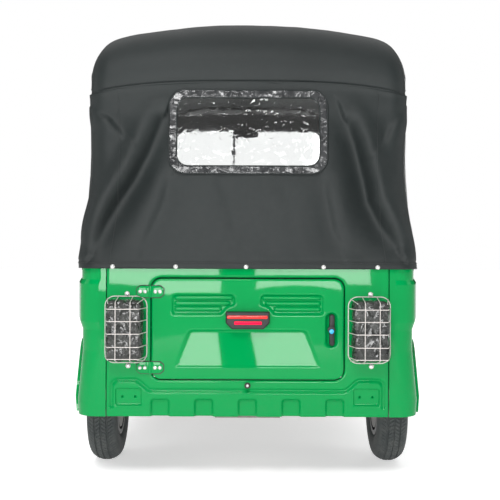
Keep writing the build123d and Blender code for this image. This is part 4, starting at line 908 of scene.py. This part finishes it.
snapSpots = [hoodPoint(1, columnNear(x), 0.001) for x in hood["snaps"]]
snapFacing = [(0, -1, 0.05)] * len(snapSpots)
for side in (-1, 1):
    flank = [j for j in range(hoodColumns) if hoodGrid[1, j, 0] * side > 0.55 and hoodGrid[1, j, 1] > -1.1]
    for y in hood["sideSnaps"]:
        snapSpots.append(hoodPoint(1, min(flank, key=lambda j: abs(hoodGrid[1, j, 1] - y)), 0.001))
        snapFacing.append((side, 0, 0.05))
hemStuds = growStuds("hemSnapStuds", snapSpots, studMetal, "chassis", 0.0062, 0.004, 18, facing=snapFacing)
print("hood: done")


# Rear window: clear film with a crinkled border
film = {"half": 0.287, "low": 1.121, "high": 1.427, "corner": 0.058, "band": 0.028, "step": 0.004}
filmInner = {"half": film["half"] - film["band"], "low": film["low"] + film["band"],
             "high": film["high"] - film["band"], "corner": film["corner"] - 0.018}


def hoodFaceY(z):
    return rearFace + between(hood["levels"], z)[0]


def filmCrumple(x, z):
    cell = noise.voronoi(Vector((x / 0.045, z / 0.045, 1.7)))[0]
    return 0.0022 * (cell[1] - cell[0]) + 0.003 * noise.noise(Vector((x / 0.07, z / 0.05, 4)))


def makeFilm(name, material, keep, lift, strength, thickness):
    step, half = film["step"], film["half"]
    xs = np.linspace(-half, half, int(2 * half / step) + 1)
    zs = np.linspace(film["low"], film["high"], int((film["high"] - film["low"]) / step) + 1)
    points = [(x, hoodFaceY(z) - lift - 0.002 - strength * filmCrumple(x, z), z) for z in zs for x in xs]
    corners = [(points[face[0]], points[face[2]], face) for face in gridFaces(len(zs), len(xs))]
    faces = [face for a, b, face in corners if keep((a[0] + b[0]) / 2, (a[2] + b[2]) / 2)]
    piece = meshPiece(name, points, faces, material, "chassis")
    editMesh(piece, dropLoose)
    addModifier(piece, "SOLIDIFY", thickness=thickness, offset=-1.0)
    return piece


def inPane(x, z):
    return insideCut(x, z, filmInner) < 0.002


def inBorder(x, z):
    return insideCut(x, z, film) < 0 and insideCut(x, z, filmInner) > -0.002


def cutLine(cut):
    ring = spanOutline(cut["half"], cut["low"], cut["high"], cut["corner"])
    fine = []
    for a, b in zip(ring, ring[1:] + ring[:1]):
        pieces = max(1, int((b - a).length / 0.03))
        fine += [a.lerp(b, k / pieces) for k in range(pieces)]
    return [(p.x, hoodFaceY(p.y) - 0.006, p.y) for p in fine + ring[:1]]


pane = makeFilm("rearWindowFilm", windowFilm, inPane, 0.002, 0.9, 0.0008)
border = makeFilm("rearWindowBorder", borderFilm, inBorder, 0.004, 1.3, 0.0012)
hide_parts("rear_window")
edging = growWires("rearWindowEdging", [cutLine(film), cutLine(filmInner)], hoodVinyl, "chassis", 0.0028,
                   sides=6)
print("window: done")


cushion = {"voxel": 0.010, "pressure": 4.0, "frames": 20, "cap": 0.014, "shrink": 0.006, "seamWidth": 0.09}
benchLean = {"foot": Vector((0.0, -0.8037, 0.7006)), "low": Vector((-0.575, 0.0175, 0.0)),
             "high": Vector((0.575, 0.1175, 0.42)), "angle": math.radians(12)}


def roundedBlock(low, high, radius):
    mesh = bmesh.new()
    bmesh.ops.create_cube(mesh, size=1.0)
    size, middle = Vector(high) - Vector(low), (Vector(high) + Vector(low)) / 2
    for v in mesh.verts:
        v.co = v.co * size + middle
    bmesh.ops.bevel(mesh, geom=list(mesh.edges) + list(mesh.verts), offset=radius, segments=5, affect="EDGES",
                    profile=0.5)
    data = bpy.data.meshes.new("block")
    mesh.to_mesh(data)
    mesh.free()
    return data


def remeshed(name, data, voxel):
    piece = addObject(name, data)
    addModifier(piece, "REMESH", mode="VOXEL", voxel_size=voxel)
    mesh = evaluated(piece)
    piece.modifiers.clear()
    piece.data = mesh
    return piece


def swell(piece):
    # A short cloth simulation under pressure, with each point's move capped
    mesh = piece.data
    rest = np.array([v.co[:] for v in mesh.vertices])
    cloth = piece.modifiers.new("cloth", "CLOTH")
    cloth.settings.use_pressure = True
    cloth.settings.uniform_pressure_force = cushion["pressure"]
    cloth.settings.effector_weights.gravity = 0.0
    cloth.settings.tension_stiffness = 15
    cloth.settings.bending_stiffness = 0.5
    cloth.point_cache.frame_start, cloth.point_cache.frame_end = 1, cushion["frames"]
    for number in range(1, cushion["frames"] + 1):
        scene.frame_set(number)
    moved = evaluated(piece)
    shift = np.array([v.co[:] for v in moved.vertices]) - rest
    reach = np.linalg.norm(shift, axis=1, keepdims=True)
    shift *= np.minimum(1.0, cushion["cap"] / np.maximum(reach, 1e-9))
    piece.modifiers.clear()
    mesh.vertices.foreach_set("co", (rest + shift).reshape(-1))
    scene.frame_set(1)
    bpy.data.meshes.remove(moved)


def makeCushion(name, node, channels, faceAxis, radius=0.026, lean=None):
    # Built upright in its own box, sewn into channels along X, then leaned about its foot
    low, high = (Vector(corner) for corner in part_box(node))
    if lean:
        low, high = lean["foot"] + lean["low"], lean["foot"] + lean["high"]
    inset = Vector([cushion["shrink"]] * 3)
    piece = remeshed(name, roundedBlock(low + inset, high - inset, radius), cushion["voxel"])
    swell(piece)
    mesh = piece.data
    coords = np.array([v.co[:] for v in mesh.vertices])
    part = (coords - np.array(low)) / np.array(high - low)
    along, other = part[:, 0], part[:, 3 - faceAxis]
    bulge = (1 - (2 * along - 1) ** 4) * (1 - (2 * other - 1) ** 4)
    face = np.clip((part[:, faceAxis] - 0.5) * 2, 0, 1)
    pitch = 1.0 / channels
    toSeam = np.abs(((along + pitch / 2) % pitch) - pitch / 2) / pitch
    seam = np.exp(-(toSeam / cushion["seamWidth"]) ** 2) * (np.abs(along - 0.5) < 0.5 - pitch / 2)
    rib = np.sin(np.clip(toSeam, 0, 0.5) * math.pi) ** 0.5
    coords[:, faceAxis] += face * bulge * (0.004 + 0.004 * rib - 0.010 * seam)
    mesh.vertices.foreach_set("co", coords.reshape(-1))
    if lean:
        foot = Matrix.Translation(lean["foot"])
        mesh.transform(foot @ Matrix.Rotation(lean["angle"], 4, "X") @ foot.inverted())
    mesh.update()
    mesh.materials.clear()
    mesh.materials.append(seatVinyl)
    mesh.shade_smooth()
    addModifier(piece, "SUBSURF", levels=1, render_levels=1)
    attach(piece, "chassis")
    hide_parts(node)


makeCushion("benchCushion", "bench_cushion", 10, 2)
makeCushion("driverCushion", "driver_cushion", 5, 2)
makeCushion("driverBackrest", "driver_back", 5, 1, radius=0.02)
makeCushion("benchBackrest", "bench_back", 10, 1, lean=benchLean)
print("cushions: done")


# Pressed sheets: the door and the rear panel are grids with their relief in the mesh
door = {
    "half": 0.344, "low": 0.383, "high": 0.742, "corner": 0.034, "proud": 0.008, "gap": 0.005,
    "return": 0.014, "grid": (0.0034, 0.0027),
    "vent": {"corners": [(0.043, 0.689), (0.274, 0.689), (0.274, 0.611), (0.095, 0.611), (0.0716, 0.63692),
                         (0.043, 0.647)],
             "radii": (0.018, 0.018, 0.014, 0.014, 0.012, 0.012), "depth": 0.0100},
    "rib": {"radius": 0.0078, "raise": 0.0085, "end": 0.254,
            "starts": [(0.061, 0.6745), (0.069, 0.6545), (0.101, 0.6345)]},
    "plate": {"topHalf": 0.212, "bottomHalf": 0.265, "high": 0.562, "low": 0.423, "topDepth": 0.012,
              "bottomDepth": 0.001, "corner": 0.026},
    "latch": {"x": 0.300, "low": 0.519, "high": 0.601, "radius": 0.025, "depth": 0.016},
}
panel = {
    "half": 0.5062, "low": 0.247, "high": 0.790, "return": 0.012, "grid": (0.0035, 0.0030),
    "groove": {"path": [(0, 0.341), (0.352, 0.341), (0.397, 0.379), (0.488, 0.379), (0.488, 0.285)],
               "bends": (0.03, 0.03, 0.025), "width": 0.009, "depth": 0.007},
    "seat": {"x": 0.427, "z": 0.318, "halfX": 0.0475, "halfZ": 0.032, "corner": 0.007, "depth": 0.0065},
    "hole": {"side": 0.023, "radius": 0.0045, "depth": 0.010},
    "pad": {"pitch": 0.157, "half": 0.037, "high": 0.314, "depth": 0.014, "corner": 0.016},
}
doorOutline = spanOutline(door["half"], door["low"], door["high"], door["corner"])
doorway = spanOutline(door["half"] + door["gap"], door["low"] - door["gap"], door["high"] + door["gap"],
                      door["corner"] + door["gap"])


def lineGap(line, x, z):
    best = np.full(x.shape, 9.0)
    for (ax, az), (bx, bz) in zip(line, line[1:]):
        dx, dz = bx - ax, bz - az
        share = np.clip(((x - ax) * dx + (z - az) * dz) / max(dx * dx + dz * dz, 1e-12), 0, 1)
        best = np.minimum(best, np.hypot(x - ax - share * dx, z - az - share * dz))
    return best


def outlineGap(outline, x, z):
    # Distance to a closed outline, negative inside
    closed = [outline[-1]] + outline
    inside = np.zeros(x.shape, dtype=bool)
    for (ax, az), (bx, bz) in zip(closed, outline):
        rise = bz - az if abs(bz - az) > 1e-12 else 1e-12
        inside ^= ((az > z) != (bz > z)) & (x < ax + (z - az) * (bx - ax) / rise)
    gap = lineGap(closed, x, z)
    return np.where(inside, -gap, gap)


def softStep(gap, width):
    # 0 at the outline, 1 from one width inside it
    share = np.clip(-gap / width, 0, 1)
    return share * share * (3 - 2 * share)


def rolledEdge(gap, width, depth):
    return depth * (1 - np.clip(gap / width, 0, 1)) ** 2


def doorRelief(x, z):
    # Height of the door's face over its own plane; positive is outwards
    vent, rib, plate, latch = door["vent"], door["rib"], door["plate"], door["latch"]
    height = -rolledEdge(-outlineGap(doorOutline, x, z), 0.006, 0.003)
    for side in (-1, 1):
        outline = outlinePoints([(side * a, b) for a, b in vent["corners"]], vent["radii"], 6)
        height -= vent["depth"] * softStep(outlineGap(outline, x, z), 0.009)
        for start, level in rib["starts"]:
            gap = lineGap([(side * start, level), (side * rib["end"], level)], x, z) / rib["radius"]
            height += rib["raise"] * np.sqrt(np.clip(1 - gap * gap, 0, 1))
    wedge = outlinePoints([(-plate["bottomHalf"], plate["low"]), (plate["bottomHalf"], plate["low"]),
                           (plate["topHalf"], plate["high"]), (-plate["topHalf"], plate["high"])],
                          (0.002, 0.002, plate["corner"], plate["corner"]), 8)
    rise = np.clip((z - plate["low"]) / (plate["high"] - plate["low"]), 0, 1)
    depth = plate["bottomDepth"] + (plate["topDepth"] - plate["bottomDepth"]) * rise
    height -= depth * softStep(outlineGap(wedge, x, z), 0.010)
    well = lineGap([(latch["x"], latch["low"]), (latch["x"], latch["high"])], x, z)
    height -= latch["depth"] * softStep(well - latch["radius"], 0.014)
    return height + 0.0004 * np.sin(x * 9) * np.sin(z * 17 + 1)


def panelRelief(x, z):
    groove, seat, hole, pad = panel["groove"], panel["seat"], panel["hole"], panel["pad"]
    height = np.zeros(x.shape)
    path = groove["path"]
    bends = [p for k, radius in enumerate(groove["bends"]) for p in filletRun(*path[k:k + 3], radius, 6)]
    for side in (-1, 1):
        gap = lineGap([(side * px, pz) for px, pz in [path[0]] + bends + [path[-1]]], x, z) / groove["width"]
        height -= groove["depth"] * np.clip(1 - gap * gap, 0, 1) ** 1.3
        rest = boxOutline(side * seat["x"], seat["z"], seat["halfX"], seat["halfZ"], seat["corner"])
        height -= seat["depth"] * softStep(outlineGap(rest, x, z), 0.004)
        for end in (-1, 1):
            away = np.hypot(x - side * seat["x"] - end * hole["side"], z - seat["z"])
            height -= hole["depth"] * softStep(away - hole["radius"], 0.003)
    for k in range(-2, 3):
        rest = spanOutline(pad["half"], panel["low"] - 0.05, pad["high"], pad["corner"], k * pad["pitch"])
        height -= pad["depth"] * softStep(outlineGap(rest, x, z), 0.011)
    height -= rolledEdge(outlineGap(doorway, x, z), 0.006, 0.003)
    height -= rolledEdge(z - panel["low"], 0.008, 0.004)
    height -= rolledEdge(panel["half"] - np.abs(x), 0.007, 0.003)
    return height + 0.0005 * np.sin(x * 7 + 2) * np.sin(z * 13)


def rimmed(back):
    # Draws the open rims back into flanges
    def change(sheet):
        dropLoose(sheet)
        edges = [e for e in sheet.edges if e.is_boundary]
        for reach in (0.0015, back - 0.0015):
            made = bmesh.ops.extrude_edge_only(sheet, edges=edges)["geom"]
            verts = [v for v in made if isinstance(v, bmesh.types.BMVert)]
            bmesh.ops.translate(sheet, verts=verts, vec=(0, reach, 0))
            edges = [e for e in made if isinstance(e, bmesh.types.BMEdge)]
    return change


def pressedSheet(name, outline, hole, relief, face, step, back, body):
    # A grid over the outline, cut by the hole, with its edge moved onto both
    xs, zs = [p[0] for p in outline], [p[1] for p in outline]
    nx, nz = round((max(xs) - min(xs)) / step[0]) + 1, round((max(zs) - min(zs)) / step[1]) + 1
    x, z = np.meshgrid(np.linspace(min(xs), max(xs), nx), np.linspace(min(zs), max(zs), nz))

    def gapAt(a, b):
        gap = outlineGap(outline, a, b)
        return np.maximum(gap, -outlineGap(hole, a, b)) if hole else gap

    keep = gapAt((x[1:, 1:] + x[:-1, :-1]) / 2, (z[1:, 1:] + z[:-1, :-1]) / 2) < 0
    gap = gapAt(x, z)
    h = 1e-4
    slopeX, slopeZ = (gapAt(x + h, z) - gap) / h, (gapAt(x, z + h) - gap) / h
    uses = np.zeros(x.shape, dtype=int)
    for di in (0, 1):
        for dj in (0, 1):
            uses[di:di + nz - 1, dj:dj + nx - 1] += keep
    snap = (np.abs(gap) < max(step)) & (uses > 0) & (uses < 4)
    x, z = np.where(snap, x - slopeX * gap, x), np.where(snap, z - slopeZ * gap, z)
    points = np.stack([x, face - relief(x, z), z], axis=-1).reshape(-1, 3)
    faces = [one for one, kept in zip(gridFaces(nz, nx), keep.reshape(-1)) if kept]
    piece = meshPiece(name, points, faces, bodyPaint, body)
    editMesh(piece, rimmed(back))
    shadeByAngle(piece, 50)
    addModifier(piece, "SOLIDIFY", thickness=0.0012, offset=-1.0)
    return piece


doorFace = rearFace - door["proud"]
doorSkin = pressedSheet("doorSkin", doorOutline, None, doorRelief, doorFace, door["grid"], door["return"],
                        "engine_door")
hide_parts("engine_door")
panelOutline = [(-panel["half"], panel["low"]), (panel["half"], panel["low"]),
                (panel["half"], panel["high"]), (-panel["half"], panel["high"])]
panelSkin = pressedSheet("panelSkin", panelOutline, doorway, panelRelief, rearFace, panel["grid"],
                         panel["return"], "chassis")
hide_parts("rear_panel")
print("pressed sheets: done")


# Tail lamps, still wrapped in crinkled film, and their wire guards
guard = {
    "lampX": 0.436, "lampZ": 0.560, "baseHalf": (0.075, 0.119), "faceHalf": (0.056, 0.103), "depth": 0.087,
    "wire": 0.0015, "frame": 0.0019, "bend": 0.034, "bolts": [(0.004, 0.128), (0.008, -0.130)],
    "barsUp": (-0.026, 0.026), "barsAcross": (0.078, 0.035, -0.009, -0.055, -0.097),
}
wrap = {"half": (0.066, 0.110), "depth": 0.068, "corner": 0.020, "voxel": 0.0045, "crumple": 0.0045}

guardRings, guardBars = [], []
for side in (-1, 1):
    cx, cz = side * guard["lampX"], guard["lampZ"]
    (bx, bz), (fx, fz) = guard["baseHalf"], guard["faceHalf"]
    foot, face = rearFace - 0.0028, rearFace - guard["depth"]
    ring = boxOutline(cx, cz, bx, bz, guard["bend"])
    guardRings.append([(p.x, foot, p.y) for p in ring + ring[:1]])
    for x in (cx + shift for shift in guard["barsUp"]):
        guardBars.append([(x, foot, cz + bz), (x, face, cz + fz), (x, face, cz - fz), (x, foot, cz - bz)])
    for z in (cz + shift for shift in guard["barsAcross"]):
        guardBars.append([(cx - bx, foot, z), (cx - fx, face, z), (cx + fx, face, z), (cx + bx, foot, z)])
    for sx, sz in ((-1, -1), (-1, 1), (1, -1), (1, 1)):
        guardBars.append([(cx + sx * (bx - 0.008), foot, cz + sz * (bz - 0.008)),
                          (cx + sx * (fx - 0.004), face, cz + sz * (fz - 0.004))])
guardFrames = growWires("guardFrames", guardRings, guardWire, "chassis", guard["frame"], sides=10)
growWires("guardBars", guardBars, guardWire, "chassis", guard["wire"], bend=0.008)
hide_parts("lamp_guards")


def crumpled(name, low, high):
    piece = remeshed(name, roundedBlock(low, high, wrap["corner"]), wrap["voxel"])
    mesh = piece.data
    bpy.data.objects.remove(piece)
    for v in mesh.vertices:
        cells = noise.voronoi(Vector((v.co.x / 0.030, v.co.y / 0.030, v.co.z / 0.045)))[0]
        v.co -= v.normal * wrap["crumple"] * (1 - min(1.0, (cells[1] - cells[0]) * 2.2))
    return mesh


bothLamps = bmesh.new()
for label, x in (("Left", -guard["lampX"]), ("Right", guard["lampX"])):
    halfX, halfZ = wrap["half"]
    low = (x - halfX, rearFace - wrap["depth"], guard["lampZ"] - halfZ)
    bothLamps.from_mesh(crumpled("wrap" + label, low, (x + halfX, rearFace - 0.001, guard["lampZ"] + halfZ)))
lampMesh = bpy.data.meshes.new("wrappedLamps")
bothLamps.to_mesh(lampMesh)
bothLamps.free()
wrappedLamps = placePiece("wrappedLamps", lampMesh, smokedLens, "chassis")
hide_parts("tail_lamps")
boltSpots = [(side * guard["lampX"] + dx, rearFace - 0.004, guard["lampZ"] + dz)
             for side in (-1, 1) for dx, dz in guard["bolts"]]
growStuds("guardBolts", boltSpots, studMetal, "chassis", 0.007, 0.004, 16)
print("guards: done")


# Door fittings, as flat outlines in x and z between two depths
# The shadow margin widens each hinge leaf's outline for a dark rubber plate that paints the shade round the
# leaf
hinge = {"x": -0.349, "y": doorFace - 0.0015, "heights": (0.424, 0.696), "tip": 0.048, "taper": 0.014,
         "half": 0.0205, "thickness": 0.003, "knuckle": 0.0055, "shadowMargin": 0.003,
         "doorRivets": (-0.331, -0.314), "panelRivets": (-0.385, -0.367)}
for name, rivets, body in (("hingeRivets", hinge["doorRivets"], "engine_door"),
                           ("hingeRivetsPanel", hinge["panelRivets"], "chassis")):
    spots = [(x, doorFace - 0.003, z) for z in hinge["heights"] for x in rivets]
    growStuds(name, spots, studMetal, body, 0.0052, 0.003, 14)


def plateOnDoor(name, outline, y0, y1, material, body="engine_door", bevel=0.0015):
    count = len(outline)
    points = [(p[0], y, p[1]) for y in (y0, y1) for p in outline]
    faces = [tuple(range(count)), tuple(reversed(range(count, 2 * count)))]
    faces += [(k, k + count, (k + 1) % count + count, (k + 1) % count) for k in range(count)]
    piece = meshPiece(name, points, faces, material, body)
    editMesh(piece, faceOutwards)
    addModifier(piece, "BEVEL", width=bevel, segments=3, limit_method="ANGLE", angle_limit=math.radians(40))
    return piece


def disc(x, z, radius, count):
    turns = [2 * math.pi * k / count for k in range(count)]
    return [(x + radius * math.cos(turn), z + radius * math.sin(turn)) for turn in turns]


def hingeHalf(sign, z, grow=0.0):
    # Half of a lozenge plate, from the knuckle to its blunt tip
    x, tip, half = hinge["x"], hinge["tip"] + grow, hinge["half"] + grow
    shape = [(0.003, -half), (tip - hinge["taper"], -half), (tip, -half * 0.5)]
    corners = [(x + sign * out, z + up) for out, up in shape + [(out, -up) for out, up in reversed(shape)]]
    return outlinePoints(corners, (0, 0.003, 0.003, 0.003, 0.003, 0), 4)


hingeSides = (("Door", 1, doorFace, "engine_door"), ("Panel", -1, rearFace, "chassis"))
for label, z in zip(("Lower", "Upper"), hinge["heights"]):
    for place, sign, face, body in hingeSides:
        plateOnDoor("hingeLeaf" + place + label, hingeHalf(sign, z), doorFace - hinge["thickness"],
                    face + 0.001, bodyPaint, body, 0.0012)
    # Painted shadow: a dark rubber outline, a little larger than each leaf, stands in for the shade round the
    # hinge leaves
    for place, sign, face, body in hingeSides:
        plateOnDoor("hingeShadowOutline" + place + label, hingeHalf(sign, z, hinge["shadowMargin"]), face - 0.0012,
                    face + 0.001, gripRubber, body, 0.0004)
for label, body, side in (("Door", "engine_door", 1), ("Panel", "chassis", -1)):
    knuckles = [[(hinge["x"], hinge["y"], z + side * reach) for reach in (0.0003, hinge["half"])]
                for z in hinge["heights"]]
    growWires("hingeKnuckles" + label, knuckles, bodyPaint, body, hinge["knuckle"], sides=16)

# Outline, depths of front and back behind the door's face, finish and rolled edge
fittings = {
    "brakeLampUpperLens": (boxOutline(-0.001, 0.6075, 0.072, 0.0058, 0.004, 10), -0.0275, -0.022, redLens,
                           0.0015),
    "brakeLampBar": (boxOutline(0.001, 0.5865, 0.049, 0.0058, 0.003, 10), -0.028, -0.022, litRedLens, 0.0015),
    "latchBar": (boxOutline(0.302, 0.560, 0.0092, 0.056, 0.0088, 10), -0.003, 0.0155, blackPlastic, 0.003),
    "lockBarrel": (disc(0.300, 0.562, 0.0135, 32), -0.007, 0.004, blackPlastic, 0.0015),
    "lockCap": (disc(0.300, 0.556, 0.0085, 24), -0.0105, -0.005, blueCap, 0.0015),
}
fitted = {name: plateOnDoor(name, outline, doorFace + front, doorFace + back, finish, bevel=edge)
          for name, (outline, front, back, finish, edge) in fittings.items()}
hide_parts("door_latch")
studY, studZ = rearFace - 0.0045, 0.360
growStuds("centreStudRing", [(0, studY, studZ)], blackPlastic, "chassis", 0.0085, 0.003, 20)
growStuds("centreStud", [(0, studY - 0.002, studZ)], studMetal, "chassis", 0.004, 0.003, 16)
print("door fittings: done")


def closeShell(mesh):
    bmesh.ops.remove_doubles(mesh, verts=mesh.verts, dist=1e-5)
    faceOutwards(mesh)


def lathe(name, centres, profile, material, around=56, closed=False):
    # Profiles run (radius, forward) about an axis along Y
    points, faces = [], []
    for cx, cy, cz in centres:
        start = len(points)
        for k in range(around):
            turn = 2 * math.pi * k / around
            points += [(cx + r * math.cos(turn), cy + d, cz + r * math.sin(turn)) for r, d in profile]
        faces += [tuple(start + v for v in face)
                  for face in gridFaces(around, len(profile), wrapRows=True, wrapColumns=closed)]
    piece = meshPiece(name, points, faces, material, "chassis")
    editMesh(piece, closeShell)
    shadeByAngle(piece, 42)
    return piece


# Headlamps: chrome bezel, domed lens, reflector, bulb and a black shell behind
headlamp = {"x": 0.330, "z": 0.770, "radius": 0.078, "lens": 0.0665, "dome": 0.013, "dish": 0.052}
indicator = {"x": 0.462, "z": 0.850}
radius, lens = headlamp["radius"], headlamp["lens"]
lampFace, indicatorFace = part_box("headlamps")[1][1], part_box("front_indicators")[1][1]
lampCentres = [(side * headlamp["x"], lampFace, headlamp["z"]) for side in (-1, 1)]
indicatorCentres = [(side * indicator["x"], indicatorFace, indicator["z"]) for side in (-1, 1)]
shellProfile = [(radius - 0.001, -0.020), (radius - 0.001, -0.060), (0.060, -0.098), (0.034, -0.114),
                (0.0, -0.118)]
bezelProfile = [(radius - 0.0005, -0.028), (radius + 0.001, -0.010), (radius, -0.002),
                (radius - 0.004, 0.002), (lens + 0.003, 0.001), (lens, -0.004), (lens, -0.012),
                (radius - 0.003, -0.014)]
lensProfile = [(lens * s, -0.004 + headlamp["dome"] * (1 - s * s)) for s in np.linspace(1, 0, 12)]
dishProfile = [(lens * s, -0.012 - headlamp["dish"] * (1 - s * s)) for s in np.linspace(1, 0.15, 14)]
bulbProfile = [(0.010 * math.sin(t), -0.033 + 0.011 * math.cos(t)) for t in np.linspace(0.2, 2.7, 9)]
indicatorProfile = [(0.0302, -0.002), (0.034, -0.004), (0.0355, -0.009), (0.0355, -0.016), (0.0302, -0.018)]
shell = lathe("headlampShells", lampCentres, shellProfile, blackPlastic)
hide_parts("headlamps")
addModifier(shell, "SOLIDIFY", thickness=0.002, offset=-1.0)
lathe("headlampBezels", lampCentres, bezelProfile, chrome, closed=True)
lensPiece = lathe("headlampLenses", lampCentres, lensProfile, clearLens)
addModifier(lensPiece, "SOLIDIFY", thickness=0.0025, offset=-1.0)
dish = lathe("headlampReflectors", lampCentres, dishProfile, chrome)
addModifier(dish, "SOLIDIFY", thickness=0.0012, offset=-1.0)
lathe("headlampBulbs", lampCentres, [(0.0, -0.022)] + bulbProfile + [(0.008, -0.066)], chrome, around=24)
lathe("indicatorBezels", indicatorCentres, indicatorProfile, blackPlastic, closed=True)

# Wiper, hung from the top of the windscreen frame on its outer side
wiper = {"x": -0.088, "side": 0.004, "top": 1.585, "armEnd": 1.36, "bladeLow": 1.13, "bladeHigh": 1.53,
         "rake": math.radians(24)}
screenLow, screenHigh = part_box("windscreen_glass")


def onScreen(side, z, lift):
    # A point before the outer face of the glass
    return wiper["x"] + side, screenHigh[1] - (z - screenLow[2]) * math.tan(wiper["rake"]) + lift, z


side, end = wiper["side"], wiper["armEnd"]
tipX, tipY, tipZ = onScreen(side, end, 0.014)
armLine = [onScreen(0, wiper["top"], 0.020), onScreen(side, end, 0.030), (tipX, tipY, tipZ - 0.01)]
growWires("wiperArm", [armLine], blackPlastic, "chassis", 0.0042, bend=0.006)
bladeLine = [onScreen(side, z, 0.009) for z in (wiper["bladeLow"], wiper["bladeHigh"])]
growWires("wiperBlade", [bladeLine], gripRubber, "chassis", 0.0058, sides=6)
growStuds("wiperPivot", [onScreen(0, wiper["top"], 0.015)], blackPlastic, "chassis", 0.014, 0.012, 20,
          facing=(0, 1, 0.4))


view = {"height": 0.846, "back": -4.275, "lens": 60.2, "roll": 0.2, "shift": 0.0042}
camera = addObject("camera", bpy.data.cameras.new("camera"))
camera.location = (0.0, view["back"], view["height"])
camera.rotation_euler = (math.radians(90), -math.radians(view["roll"]), 0)
camera.data.lens = view["lens"]
camera.data.sensor_width = 36
camera.data.shift_x = view["shift"]
camera.data.clip_end = 200
scene.camera = camera

# Two soft boxes behind the camera give the paint its bright panes, with a dark gap between them
lights = {
    "boxLeft": {"at": (-1.0, -6.3, 0.93), "size": (1.46, 0.95), "watts": 92, "aim": (-1.0, 0, 0.93)},
    "boxRight": {"at": (0.62, -6.3, 0.93), "size": (1.12, 0.95), "watts": 71, "aim": (0.62, 0, 0.93)},
    "key": {"at": (-0.9, -5.2, 4.6), "size": (1.8, 1.2), "watts": 165, "aim": (0, -1.2, 0.9)},
    "sideLeft": {"at": (-5.2, -1.2, 2.4), "size": (2.6, 2.2), "watts": 30, "aim": (0, -0.2, 0.8)},
    "sideRight": {"at": (5.2, -1.0, 2.4), "size": (2.6, 2.2), "watts": 30, "aim": (0, -0.2, 0.8)},
    "front": {"at": (2.2, 5.6, 2.4), "size": (3.0, 2.2), "watts": 110, "aim": (0, 0.8, 0.8)},
}
for name, one in lights.items():
    lamp = bpy.data.lights.new(name, "AREA")
    lamp.shape = "RECTANGLE"
    lamp.size, lamp.size_y = one["size"]
    lamp.energy = one["watts"]
    holder = addObject(name, lamp)
    holder.location = one["at"]
    holder.rotation_euler = (Vector(one["aim"]) - Vector(one["at"])).to_track_quat("-Z", "Y").to_euler()

dome = bpy.data.lights.new("softDome", "SUN")
dome.energy, dome.angle = 0.95, math.radians(80)
addObject("softDome", dome).rotation_euler = (math.radians(-16), 0, 0)

# The camera sees plain white behind the object; the object sees a dim room that is brighter overhead
world = bpy.data.worlds.new("studio")
scene.world = world
world.use_nodes = True
room = world.node_tree
sight = room.nodes.new("ShaderNodeLightPath").outputs
direction = room.nodes.new("ShaderNodeTexCoord").outputs["Generated"]
upwards = addNode(room, "ShaderNodeSeparateXYZ", {0: direction}).outputs["Z"]
ambient = rangeNode(room, upwards, 0.0, 0.8, 0.03, 0.36)
backdrop = mathNode(room, "MAXIMUM", sight["Is Camera Ray"], sight["Is Transmission Ray"])
room.links.new(mathNode(room, "MAXIMUM", backdrop, ambient), room.nodes["Background"].inputs["Strength"])
room.nodes["Background"].inputs["Color"].default_value = (1, 1, 1, 1)
scene.view_settings.view_transform = "Standard"

floorFinish = newMaterial(
    "studioFloor", (0.94, 0.94, 0.94), (0.92, 0.92, 0.92), toneScale=0.6, roughness=0.8, dust=0.0,
    Specular_IOR_Level=0.0, Emission_Color=(1, 1, 1, 1), Emission_Strength=0.5,
)
floorMesh = bpy.data.meshes.new("studioFloor")
floorMesh.from_pydata([(-30, -30, 0), (30, -30, 0), (30, 30, 0), (-30, 30, 0)], [], [(0, 1, 2, 3)])
floorMesh.materials.append(floorFinish)
studioFloor = addObject("studioFloor", floorMesh)
